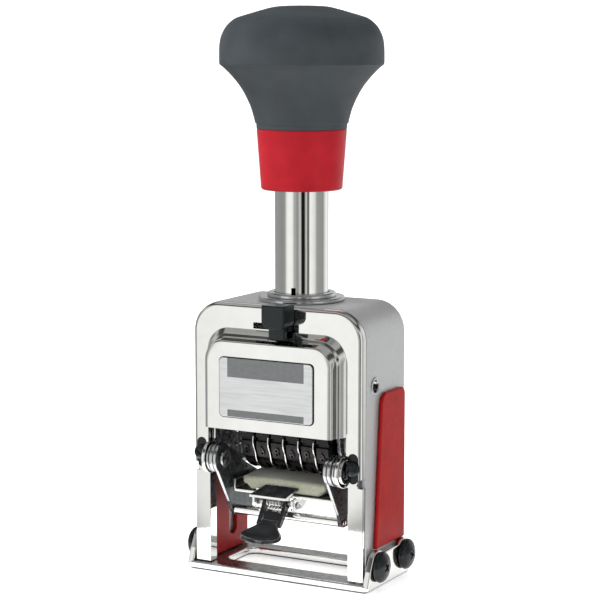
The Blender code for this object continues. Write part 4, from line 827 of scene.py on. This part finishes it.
def make_dial():
    """The dial with its ticks and numbers, and the pointed lever on it."""
    low, high = (corner.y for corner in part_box("dial_plate"))
    dial = plate("dial_disc", [circle(0, DIAL_Z, 0.0085, 72), circle(0, DIAL_Z, 0.0015, 24)], "front", low, high)
    dress(dial, "dial", BODY, "plate_aluminium", "dial_plate")
    tick, label = 0.0078, 0.0060
    marks = []
    for index in range(7):
        angle = radians(-135 + 45 * index) + QUARTER
        u, v = cos(angle), sin(angle)
        mark = block("mark", (-0.00012, -0.0006, 0), (0.00012, 0.0006, 0.00012))
        moved(mark, (tick * u, high, DIAL_Z + tick * v), (QUARTER - angle, "Z"), (-QUARTER, "X"))
        number = raised_text(str(index), 0.0022, 0.00006)
        moved(number, (label * u, high + 0.00006, DIAL_Z + label * v), (QUARTER, "X"), (2 * QUARTER, "Z"))
        marks += [mark, number]
    dress(merged("dial_marks", *marks), "ink", BODY, "plate_aluminium")
    low, high = high + 0.0003, high + 0.0025
    pointer = rounded(ribbon([(0, DIAL_Z), (0, DIAL_Z + 0.009)], [0.0032, 0.0012]), 0.0001)
    lever = plate("lever_blade", [pointer], "front", low, high, 0.0005)
    inner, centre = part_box("selector_lever")[0].y, (0, 0, DIAL_Z)
    stem = rod("stem", 0.0012, inner, low + 0.0004, "Y", centre, flip=True, steps=32)
    cap = lathe("cap", [(0, high), (0.0016, high), (0.0018, high - 0.0003), (0.0018, low), (0, low)], "Y", centre,
                flip=True, steps=40)
    dress(merged("selector_blade", lever, stem, cap), "black", "selector", "black_levers", "selector_lever")


def raised_text(text, size, depth):
    """Generic lettering from the built-in font, centred, as a closed mesh."""
    curve = bpy.data.curves.new("text", "FONT")
    curve.body = text
    curve.size = size
    curve.extrude = depth
    curve.resolution_u = 3
    curve.align_x = "CENTER"
    curve.align_y = "CENTER"
    return solid(linked("text", curve))


# The neck and the handle

def make_neck():
    """The flanged bush and the washer on the body's top."""
    flange = rounded([(BORE, 0.0853), (0.0132, 0.0853), (0.0132, 0.08402), (0.00945, 0.08402), (0.00945, 0.0804),
                      (BORE, 0.0804)], [0.0002, 0.0005, 0.0004, 0.0001, 0.0001, 0.0001], 4)
    dress(lathe("bush_flange", flange, ring=True, steps=128), "turned", BODY, "satin_steel", "neck_bush")
    ring = rounded(rectangle(BORE, 0.0866, 0.0105, 0.08535), [0.0002, 0.0007, 0.0001, 0.0001], 5)
    dress(lathe("neck_ring", ring, ring=True, steps=128), "turned", BODY, "satin_steel", "top_washer")


# The grip's radii and heights, from its top to its widest ring and from there to its neck
GRIP_UPPER = [(0.0, 0.1726), (0.0040, 0.17256), (0.0078, 0.1723), (0.0110, 0.1716), (0.0148, 0.1705),
              (0.0177, 0.16965), (0.0200, 0.1688), (0.0222, 0.1670), (0.0235, 0.1651), (0.0244, 0.1628),
              (0.02475, 0.1600), (0.0248, 0.1563), (0.0247, 0.1552)]
GRIP_LOWER = [(0.0238, 0.1545), (0.0225, 0.1533), (0.0208, 0.1515), (0.0189, 0.14915), (0.0174, 0.1468),
              (0.0162, 0.1444), (0.0152, 0.1420), (0.0145, 0.1396), (0.0142, 0.1384)]


def make_handle():
    """The rubber grip, the red collar and the chrome tube."""
    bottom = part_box("handle_grip")[0].z
    upper = smooth_line(GRIP_UPPER, 8)
    lower = smooth_line([GRIP_UPPER[-1]] + GRIP_LOWER, 8)
    groove = [(0.01165, 0.17142), (0.0118, 0.17126), (0.01195, 0.17132)]
    upper = ([p for p in upper if p[0] < 0.0115] + groove + [p for p in upper if p[0] > 0.0121])
    neck = [(0.01412, 0.1378), (0.01380, 0.1376), (0.01372, 0.1374), (0.01362, bottom + 0.0002),
            (0.01350, bottom + 0.00003)]
    bore = [(BORE, bottom + 0.00003), (BORE, bottom + 0.013), (0, bottom + 0.013)]
    profile = [(max(r, 0), z) for r, z in upper + lower[1:] + neck + bore]
    dress(lathe("grip_moulding", profile, steps=144), "rubber", "plunger", "grip_rubber", "handle_grip",
          sharp=radians(60))
    low, high = 0.1177, 0.1356
    collar = rounded([(BORE, high + 0.0003), (0.01357, high + 0.0003), (0.01357, high - 0.0004),
                      (0.01230, low + 0.0004), (0.01180, low), (BORE, low)],
                     [0, 0.0002, 0.0003, 0.0004, 0.0002, 0.0002], 4)
    dress(lathe("collar_moulding", collar, ring=True, steps=128), "collar", "plunger", "red_plastic",
          "grip_collar")
    low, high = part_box("plunger_tube")
    wall = rounded(rectangle(0.00715, high.z, 0.00815, low.z), 0.0002, 2)
    tube = lathe("tube_polished", wall, ring=True, steps=128)
    notch = block("notch", (-0.0007, -0.0095, 0.0858), (0.0007, -0.0070, 0.0885))
    moved(notch, (0, 0, 0), (radians(10.5), "Z"))
    dress(cut(tube, notch), "chrome", "plunger", "chrome", "plunger_tube")


# The number wheels and the detent fingers

def round_axle(radius, angle):
    """A place beside the axle, seen from the machine's right."""
    return (AXLE.y + radius * cos(angle), AXLE.z + radius * sin(angle))


def make_wheels():
    """Six wheels with ten type blocks each, and raised mirrored digits on the blocks."""
    block_turn = 4 * QUARTER / DIGITS
    face, root = WHEEL_RADIUS - 0.00045, WHEEL_RADIUS - 0.0014
    outline = []
    for digit in range(DIGITS):
        middle = digit * block_turn - QUARTER
        half = block_turn * 0.40
        outline += [round_axle(root, middle - half - 0.02)]
        outline += arc(AXLE.y, AXLE.z, face, middle - half, middle + half, 6)
        outline += [round_axle(root, middle + half + 0.02)]
    bore = circle(AXLE.y, AXLE.z, 0.0023, 32)
    shapes = [raised_text(str(digit), 0.0040, 0.0003) for digit in range(DIGITS)]
    for number in range(WHEELS):
        x = WHEEL_PITCH * (number + 0.5) - WHEELS / 2 * WHEEL_PITCH
        name = "number_wheel_" + str(number + 1)
        hub = plate("wheel_blank_" + str(number + 1), [outline, bore], "side", x - WHEEL_WIDTH / 2,
                    x + WHEEL_WIDTH / 2, 0.0002)
        dress(hub, "wheel", name, "black_wheels", name)
        rows = bmesh.new()
        for digit, shape in enumerate(shapes):
            start = len(rows.verts)
            rows.from_mesh(shape.data)
            rows.verts.ensure_lookup_table()
            turn = -QUARTER + block_turn * (digit - number % 2)
            for vert in rows.verts[start:]:
                angle = turn + vert.co.y * 1.12 / WHEEL_RADIUS
                radius = WHEEL_RADIUS - 0.00032 + vert.co.z
                vert.co = (x + vert.co.x * 0.92, *round_axle(radius, angle))
        dress(piece_from("type_faces_" + str(number + 1), rows), "digit", name, "black_wheels")
    for shape in shapes:
        bpy.data.objects.remove(shape, do_unlink=True)


def make_detent():
    """The shaft with its thin wavy fingers between the wheels."""
    shaft = round_axle(0.0160, radians(118))
    low, high = (corner.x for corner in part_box("detent_comb"))
    parts = [rod("shaft", 0.001, low, high, "X", (0, *shaft), steps=32)]
    path = [shaft]
    for step in range(41):
        share = step / 40
        angle = radians(135 + 96 * share)
        radius = 0.01015 + 0.00030 * sin(share * 5 * pi)
        path.append(round_axle(radius, angle))
    widths = [0.0022] + [0.0010] * 36 + [0.0011, 0.0012, 0.0013, 0.0013, 0.0011]
    for number in range(WHEELS - 1):
        x = WHEEL_PITCH * (number - 2)
        parts.append(plate("finger", [ribbon(path, widths)], "side", x - 0.0002, x + 0.0002, 0.00008))
    dress(merged("detent_fingers", *parts), "wire", "plunger", "detent_steel", "detent_comb")


# The ink arm

BODY_ARM = "ink_arm"


def make_arms():
    """The two arms with their ring bosses, the pivots and the rod between them."""
    py, pz = ARM_PIVOT
    ry, rz = ARM_ROD
    outline = (arc(py, pz, 0.0046, pi * 0.28, pi * 1.30, 20)
               + [(ry - 0.0034, rz + 0.0031), (ry - 0.0016, rz - 0.0002), (ry - 0.0004, rz - 0.0015),
                  (ry + 0.0120, rz - 0.0015), (ry + 0.0158, rz + 0.0010), (ry + 0.0158, rz + 0.0090),
                  (ry + 0.0040, rz + 0.0150)])
    radii = [0] * 21 + [0.004, 0.0015, 0.001, 0.003, 0.003, 0.003, 0.004]
    holes = [circle(py, pz, PIVOT_HOLE, 32), circle(ry, rz, PIN_HOLE, 24)]
    for side, sign in SIDES.items():
        outlines = [rounded(outline, radii, 6)] + holes
        parts = [side_plate("arm", outlines, sign, ARM_INSIDE, ARM_OUTSIDE, 0.0003)]
        for start, end, radius in ((0.0196, 0.0208, 0.0046), (0.0208, 0.0212, 0.0036), (0.0212, 0.0219, 0.0044)):
            section = rounded(rectangle(0.0019, start, radius, end), 0.0002, 3)
            parts.append(lathe("ring", section, "X", (0, py, pz), flip=sign < 0, steps=64, ring=True))
        arm = merged(side + "_arm_blank", *parts)
        # The ring bosses outside the arm, and the arm's edge faces above the rod, get the bright turned finish
        # (1); on the edge faces it is a painted highlight.
        finish_faces(arm, ("gunmetal", "turned"), lambda normal, centre: int(
            abs(centre.x) > ARM_OUTSIDE + 0.00005 or abs(normal.x) < 0.7 and centre.z > 0.0215))
        dress(arm, None, BODY_ARM, "gunmetal", side + "_ink_arm")
        make_pivot(side, sign, py, pz)
    shoulder, end = ARM_INSIDE - 0.0003, ARM_OUTSIDE + 0.0003
    profile = [(0, -end), (0.0008, -end), (0.0008, -shoulder), (0.0015, -shoulder), (0.0015, shoulder),
               (0.0008, shoulder), (0.0008, end), (0, end)]
    bar = lathe("rod_polished", rounded(profile, 0.00015, 2, closed=False), "X", (0, ry, rz), steps=48)
    dress(bar, "chrome", BODY_ARM, "chrome", "arm_rod")


def make_pivot(side, sign, py, pz):
    """The chrome ear that carries one arm, and the slotted screw through both."""
    _, back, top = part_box(side + "_pivot_ear")[1]
    ear = (arc(py, pz, 0.0049, QUARTER, 3 * QUARTER, 20)
           + [(back, pz - 0.0049), (back, top), (back - 0.0030, top), (back - 0.0030, pz + 0.0049)])
    radii = [0] * 21 + [0.0006, 0.0003, 0.0006, 0.001]
    outlines = [rounded(ear, radii, 4), circle(py, pz, PIVOT_HOLE, 32)]
    blade = side_plate("blade", outlines, sign, EAR_INSIDE, EAR_INSIDE + 0.0012, 0.0003)
    section = rounded(rectangle(0.0019, 0.0, 0.0036, 0.0006), 0.0002, 3)
    boss = lathe("boss", section, "X", (sign * (EAR_INSIDE + 0.0011), py, pz), flip=sign < 0, ring=True, steps=48)
    dress(merged(side + "_ear_blade", blade, boss), "chrome", BODY, "chrome", side + "_pivot_ear")
    start, end = ARM_INSIDE - 0.0011, 0.0234
    head = rounded([(0, start), (0.00265, start), (0.00265, ARM_INSIDE - 0.0003), (0.0015, ARM_INSIDE - 0.0003),
                    (0.0015, end), (0, end)], [0, 0.0003, 0, 0, 0.0002, 0], 3, closed=False)
    screw = lathe(side + "_slotted_screw", head, "X", (0, py, pz), flip=sign < 0, steps=48)
    low, high = sorted((sign * (start + 0.0003), sign * (start - 0.002)))
    slot = block("slot", (low, -0.004, -0.00035), (high, 0.004, 0.00035))
    moved(slot, (0, py, pz), (0.9, "X"))
    dress(cut(screw, slot), "turned", BODY, "satin_steel", side + "_pivot_screw")


def make_tray():
    """The ink tray, a chrome channel with folded ends, and the felt pad in it."""
    low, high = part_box("ink_tray")
    wall = 0.0009
    outline = [(high.x, low.z), (high.x, high.z), (high.x - wall, high.z), (high.x - wall, low.z + wall),
               (low.x + wall, low.z + wall), (low.x + wall, high.z), (low.x, high.z), (low.x, low.z)]
    outline = rounded(outline, [0.0008, 0.0002, 0.0002, 0.0004, 0.0004, 0.0002, 0.0002, 0.0008], 3)
    tray = plate("tray_channel", [outline], "front", low.y, high.y, 0.0002)
    dress(tray, "chrome", BODY_ARM, "chrome", "ink_tray")
    low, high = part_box("ink_pad")
    bevel = 0.0026
    ring = [(high.x, high.z), (low.x, high.z), (low.x, low.z + bevel), (low.x + bevel, low.z),
            (high.x - bevel, low.z), (high.x, low.z + bevel)]
    ring = rounded(ring, [0.0007, 0.0007, 0.0007, 0.0006, 0.0006, 0.0007], 5)
    dense = []
    for (ax, az), (bx, bz) in zip(ring, ring[1:] + ring[:1]):
        count = max(1, int(hypot(bx - ax, bz - az) / 0.0008))
        dense += [(ax + (bx - ax) * i / count, az + (bz - az) * i / count) for i in range(count)]
    middle = (low + high) / 2
    rings = []
    stations, edge = 26, 0.0007
    for step in range(stations + 1):
        share = step / stations
        y = low.y + (high.y - low.y) * share
        end = min(share, 1 - share) * (high.y - low.y)
        shrink = edge - sqrt(max(0, edge ** 2 - max(0, edge - end) ** 2))
        points = []
        for x, z in dense:
            x -= copysign(shrink, x - middle.x)
            z -= copysign(shrink, z - middle.z)
            across = (x / high.x) ** 2
            crown = 0.0004 * (across + (2 * share - 1) ** 2) if z > middle.z else 0
            ripple = 0.00008 * noise.noise(Vector((x, y, z)) * 400)
            points.append((x, y + (ripple if 0 < step < stations else 0), z - crown * 0.5 + ripple))
        rings.append(points)
    pad = loft("felt_block", rings)
    dress(pad, "felt", BODY_ARM, "pad_felt", "ink_pad", sharp=radians(60))


def make_bracket():
    """The chrome bracket under the tray with its forward tongue, and the torsion spring."""
    low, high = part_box("lever_bracket")
    y, z = LEVER_PIVOT
    web = rounded(rectangle(low.x, y + 0.0028, high.x, high.y), 0.0006, 3)
    parts = [plate("web", [web], "top", high.z - 0.001, high.z, 0.0002)]
    for sign in SIDES.values():
        x = low.x if sign < 0 else high.x - 0.001
        ear = rounded([(low.y, z - 0.0021), (low.y + 0.0060, z - 0.0021), (high.y - 0.004, high.z - 0.0008),
                       (high.y, high.z - 0.0008), (high.y, high.z), (low.y, high.z)],
                      [0.0018, 0.0018, 0.001, 0.0003, 0.0003, 0.0006], 5)
        parts.append(plate("ear", [ear, circle(y, z, PIN_HOLE, 24)], "side", x, x + 0.001, 0.0002))
    for sign in SIDES.values():
        x = LEVER_X + sign * 0.0050
        parts.append(block("riser", (x - 0.0006, -0.0132, 0.0242), (x + 0.0006, -0.01225, 0.0271)))
    corners = [(-0.0094, -0.0162, 0.0256), (0.0032, -0.0162, 0.0256), (0.0056, -0.01235, 0.0284),
               (-0.0056, -0.01235, 0.0284)]
    parts.append(loft("tongue", [corners, [(x, y, z - 0.0007) for x, y, z in corners]]))
    bracket = merged("bracket_pressing", *parts)
    finish_faces(bracket, ("chrome", "gunmetal"),
                 lambda normal, centre: int(centre.z > 0.0258 and normal.z > 0.5))
    dress(bracket, None, BODY_ARM, "chrome", "lever_bracket")
    length = 0.0052
    coil = helix("X", (y, z), 0.0017, LEVER_X - length / 2, LEVER_X + length / 2, 5, QUARTER)
    points = [(coil[0][0], coil[0][1] + 0.0018, coil[0][2])] + coil
    points.append((coil[-1][0], coil[-1][1] - 0.0018, coil[-1][2]))
    dress(wire("torsion_coil", points, 0.00032), "wire", BODY_ARM, "satin_steel", "torsion_spring")


# The spoon's width along its length, both as shares
LEVER_SHARES = [(0.0, 0.40), (0.15, 0.44), (0.32, 0.60), (0.50, 0.82), (0.68, 0.98), (0.82, 1.0), (0.92, 0.88),
                (0.97, 0.66), (1.0, 0.30)]


def make_lever():
    """The black spoon lever: two cheeks round the pin, a neck, and a dished blade whose bright rim is a painted
    highlight, partly wear, from its finish.
    """
    y, z = LEVER_PIVOT
    neck = Vector((y - 0.0038, z - 0.0050))
    slope = radians(39)
    length, half = 0.0090, 0.00665
    widths = smooth_line(LEVER_SHARES, 4)
    columns = 18
    shape = bmesh.new()
    rows = []
    for along, share in widths:
        along, share = min(max(along, 0), 1), max(share, 0.05)
        row = []
        for column in range(columns + 1):
            u = 2 * column / columns - 1
            dish = 0.0012 * (abs(u) ** 2.2) * sin(min(1, along * 1.15) * QUARTER) * share
            curl = 0.0010 * max(0, along - 0.55) ** 2 / 0.2
            place = Vector((LEVER_X + u * half * share, neck.x - along * length * cos(slope),
                            neck.y - along * length * sin(slope)))
            lift = Vector((0, -sin(slope), cos(slope))) * (dish + curl)
            row.append(shape.verts.new(place + lift))
        rows.append(row)
    for first, second in zip(rows, rows[1:]):
        for i in range(columns):
            shape.faces.new((first[i], first[i + 1], second[i + 1], second[i]))
    foot = (neck.x - 0.0012 * cos(slope), neck.y - 0.0012 * sin(slope))
    cheek = ribbon([(y, z), (y - 0.0020, z - 0.0024), (neck.x + 0.0001, neck.y + 0.0002), foot],
                   [0.0016, 0.0010, 0.0010, 0.0008])
    hole = circle(y, z, PIN_HOLE, 24)
    parts = [thicken(piece_from("blade", shape), 0.0011, 0)]
    for sign in SIDES.values():
        low, high = sorted((LEVER_X + sign * 0.0041, LEVER_X + sign * 0.0030))
        parts.append(plate("cheek", [cheek, hole], "side", low, high, 0.0002))
    front = rounded(rectangle(-0.0026, -0.0002, 0.0026, 0.0030), 0.0008, 4)
    web = plate("web", [front], "front", -0.0005, 0.0005, 0.0002)
    parts.append(moved(web, (LEVER_X, neck.x + 0.0002, neck.y), (-0.5, "X")))
    dress(merged("spoon_lever", *parts), "black_edge_highlight", "pad_lever", "black_levers", "pad_lever")


# The springs, the stop slider and the plain nodes

def make_springs():
    """The two return springs."""
    for side in SIDES:
        low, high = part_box(side + "_return_spring")
        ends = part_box(side + "_guide_rod")
        centre = ((ends[0].x + ends[1].x) / 2, 0.0020)
        points = helix("Z", centre, 0.0021, low.z + 0.0004, high.z - 0.0004, 9)
        coil = wire(side + "_lift_coil", points, 0.0004)
        dress(coil, "wire", BODY, "satin_steel", side + "_return_spring")
        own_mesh(coil)


def make_stop():
    """The glossy black stop slider: a block on a narrower foot with a flared base."""
    left, right, top = -0.0010, 0.0066, 0.0850
    front, back = COVER_FRONT - 0.0071, COVER_FRONT - 0.0003
    bottom = top - 0.0072
    outline = rounded(rectangle(right, top, left, bottom), [0.0004, 0.0004, 0.0024, 0.0024], 8)
    head = plate("head", [outline], "front", front, back, 0.0004)
    stem = block("stem", (left + 0.0008, back - 0.0022, 0.0770), (right - 0.0008, COVER_BACK, 0.0783))
    middle = (front + back) / 2
    foot = rounded([(left + 0.0012, bottom + 0.0010), (left + 0.0012, bottom - 0.0026),
                    (left + 0.0002, bottom - 0.0034), (right - 0.0002, bottom - 0.0034),
                    (right - 0.0012, bottom - 0.0026), (right - 0.0012, bottom + 0.0010)], 0.0005, 4)
    foot = plate("foot", [foot], "front", middle - 0.0011, middle + 0.0011, 0.0003)
    dress(merged("stop_block", head, stem, foot), "black", "stop", "black_levers", "stop_slider")


PLAIN = {
    "steel": ["tube_yoke", "left_carriage_plate", "right_carriage_plate", "wheel_axle", "pawl_shaft",
              "left_guide_rod", "right_guide_rod", "left_spring_seat", "right_spring_seat", "lever_pin"],
    "chrome": ["left_leg", "right_leg", "stop_plate"],
    "gunmetal": ["feed_pawl"],
}


# The studio

def circles(profile, steps=96):
    """Rings round the machine, one for each radius and height."""
    return [[(*point, height) for point in circle(0, 0, radius, steps)] for radius, height in profile]


def make_studio():
    """A pale floor that curves up all round, a ring of light and dark cards for reflections, and soft lights."""
    floor = bpy.data.materials.new("studio_floor")
    floor.use_nodes = True
    shader = floor.node_tree.nodes["Principled BSDF"]
    shader.inputs["Base Color"].default_value = (0.93, 0.93, 0.93, 1)
    shader.inputs["Roughness"].default_value = 0.9
    shader.inputs["Specular IOR Level"].default_value = 0.1
    shader.inputs["Emission Color"].default_value = (1, 1, 1, 1)
    shader.inputs["Emission Strength"].default_value = 0.42
    profile = [(2.0 + 0.5 * sin(t), 0.5 - 0.5 * cos(t))
               for t in quarter_steps(12)] + [(2.5, 1.4)]
    bowl = loft("studio_bowl", circles(profile), ends=[0])
    bowl.data.materials.append(floor)
    bowl.data.shade_smooth()
    make_cards()
    make_lights()


# The cards' brightness by the angle round the machine and by the angle above it, in degrees
AZIMUTH_TONES = [(-180, 0.75), (-166, 0.95), (-150, 0.55), (-136, 0.30), (-100, 0.34), (-62, 0.30), (-47, 0.36),
                 (-39, 0.90), (-28, 1.06), (-12, 1.0), (-5, 0.50), (2, 0.42), (12, 0.28), (19, 0.60), (24, 0.60),
                 (28, 0.01), (40, 0.01), (45, 0.60), (49, 0.60), (53, 0.12), (58, 0.12), (63, 1.05), (84, 0.85),
                 (96, 0.36), (132, 0.32), (143, 0.75), (158, 1.05), (180, 0.75)]
UPPER_TONES = [(0, 0.9), (14, 0.85), (24, 0.55), (31, 0.10), (43, 0.06), (50, 0.42), (66, 0.38), (76, 0.22),
               (90, 0.30)]


def make_cards():
    """Cards seen only in reflections: their tone changes round the machine, and with height."""
    card = Surface("studio_cards", (0, 0, 0), 1.0)
    tree = card.tree
    tree.nodes.remove(card.shader)
    emission = tree.nodes.new("ShaderNodeEmission")
    tree.links.new(emission.outputs[0], tree.nodes["Material Output"].inputs["Surface"])
    place = card.node("SeparateXYZ", card.place)
    x, y, z = (place.outputs[axis] for axis in "XYZ")
    azimuth = card.maths("ARCTAN2", x, card.maths("MULTIPLY", y, -1.0))
    azimuth = card.spread(azimuth, 0.0, 1.0, -2 * QUARTER, 2 * QUARTER)
    level = card.maths("SQRT", card.maths("ADD", card.maths("MULTIPLY", x, x), card.maths("MULTIPLY", y, y)))
    height = card.maths("SUBTRACT", z, 0.06)
    elevation = card.spread(card.maths("ARCTAN2", height, level), 0.0, 1.0, 0.0, QUARTER)
    tones = []
    for share, table, low, high in ((azimuth, AZIMUTH_TONES, -180, 180), (elevation, UPPER_TONES, 0, 90)):
        ramp = card.node("ValToRGB", share)
        stops = ramp.color_ramp.elements
        while len(stops) < len(table):
            stops.new(0.5)
        for stop, (angle, tone) in zip(stops, table):
            stop.position = (angle - low) / (high - low)
            stop.color = (tone, tone, tone * 0.985, 1)
        tones.append(ramp.outputs[0])
    share = card.spread(elevation, 0.0, 1.0, 12 / 90, 24 / 90)
    card.feed(emission.inputs["Color"], card.blend(share, *tones))
    profile = [(0.075, 0.0008), (0.45, 0.0008), (0.45, 0.30)]
    profile += [(0.45 * cos(t), 0.30 + 0.45 * sin(t)) for t in quarter_steps(16)[1:-1]]
    dome = loft("studio_cards", circles(profile), ends=[-1])
    dome.data.materials.append(card.material)
    card.material.cycles.emission_sampling = "NONE"
    dome.visible_camera = dome.visible_diffuse = dome.visible_shadow = dome.visible_transmission = False


def aimed(obj, azimuth, elevation, distance):
    """The object at a place round the machine, given in degrees, and turned to face it."""
    azimuth, elevation = radians(azimuth), radians(elevation)
    direction = Vector((sin(azimuth) * cos(elevation), -cos(azimuth) * cos(elevation),
                        sin(elevation)))
    obj.location = AIM + direction * distance
    obj.rotation_euler = direction.to_track_quat("Z", "Y").to_euler()
    return obj


def make_lights():
    """The soft world light and three round lamps."""
    world = bpy.data.worlds.new("studio_world")
    bpy.context.scene.world = world
    world.use_nodes = True
    background = world.node_tree.nodes["Background"]
    background.inputs["Color"].default_value = (1.0, 0.995, 0.985, 1)
    background.inputs["Strength"].default_value = 0.38
    for name, azimuth, elevation, size, power in (("key", -62, 45, 0.6, 17.0), ("right", 70, 20, 0.6, 2.5),
                                                   ("back", 180, 35, 0.8, 5.0)):
        light = bpy.data.lights.new(name, "AREA")
        light.shape = "DISK"
        light.size = size
        light.energy = power
        aimed(linked(name, light), azimuth, elevation, LIGHT_DISTANCE).visible_glossy = False


def make_camera():
    """The camera that matches the photograph."""
    camera = bpy.data.cameras.new("camera")
    camera.sensor_width = 36
    camera.lens = LENS
    camera.shift_x = SHIFT_X
    camera.clip_start = 0.01
    camera.clip_end = 20
    view = aimed(linked("camera", camera), CAMERA_AZIMUTH, CAMERA_ELEVATION, CAMERA_DISTANCE)
    bpy.context.scene.camera = view
    bpy.context.scene.view_settings.view_transform = "Standard"


MATERIALS = make_materials()
make_camera()
make_studio()
make_base()
make_body()
make_cover()
make_back()
make_neck()
make_handle()
make_wheels()
make_detent()
make_arms()
make_tray()
make_bracket()
make_lever()
make_springs()
make_stop()
for finish, names in PLAIN.items():
    for name in names:
        dress_node(name, finish)
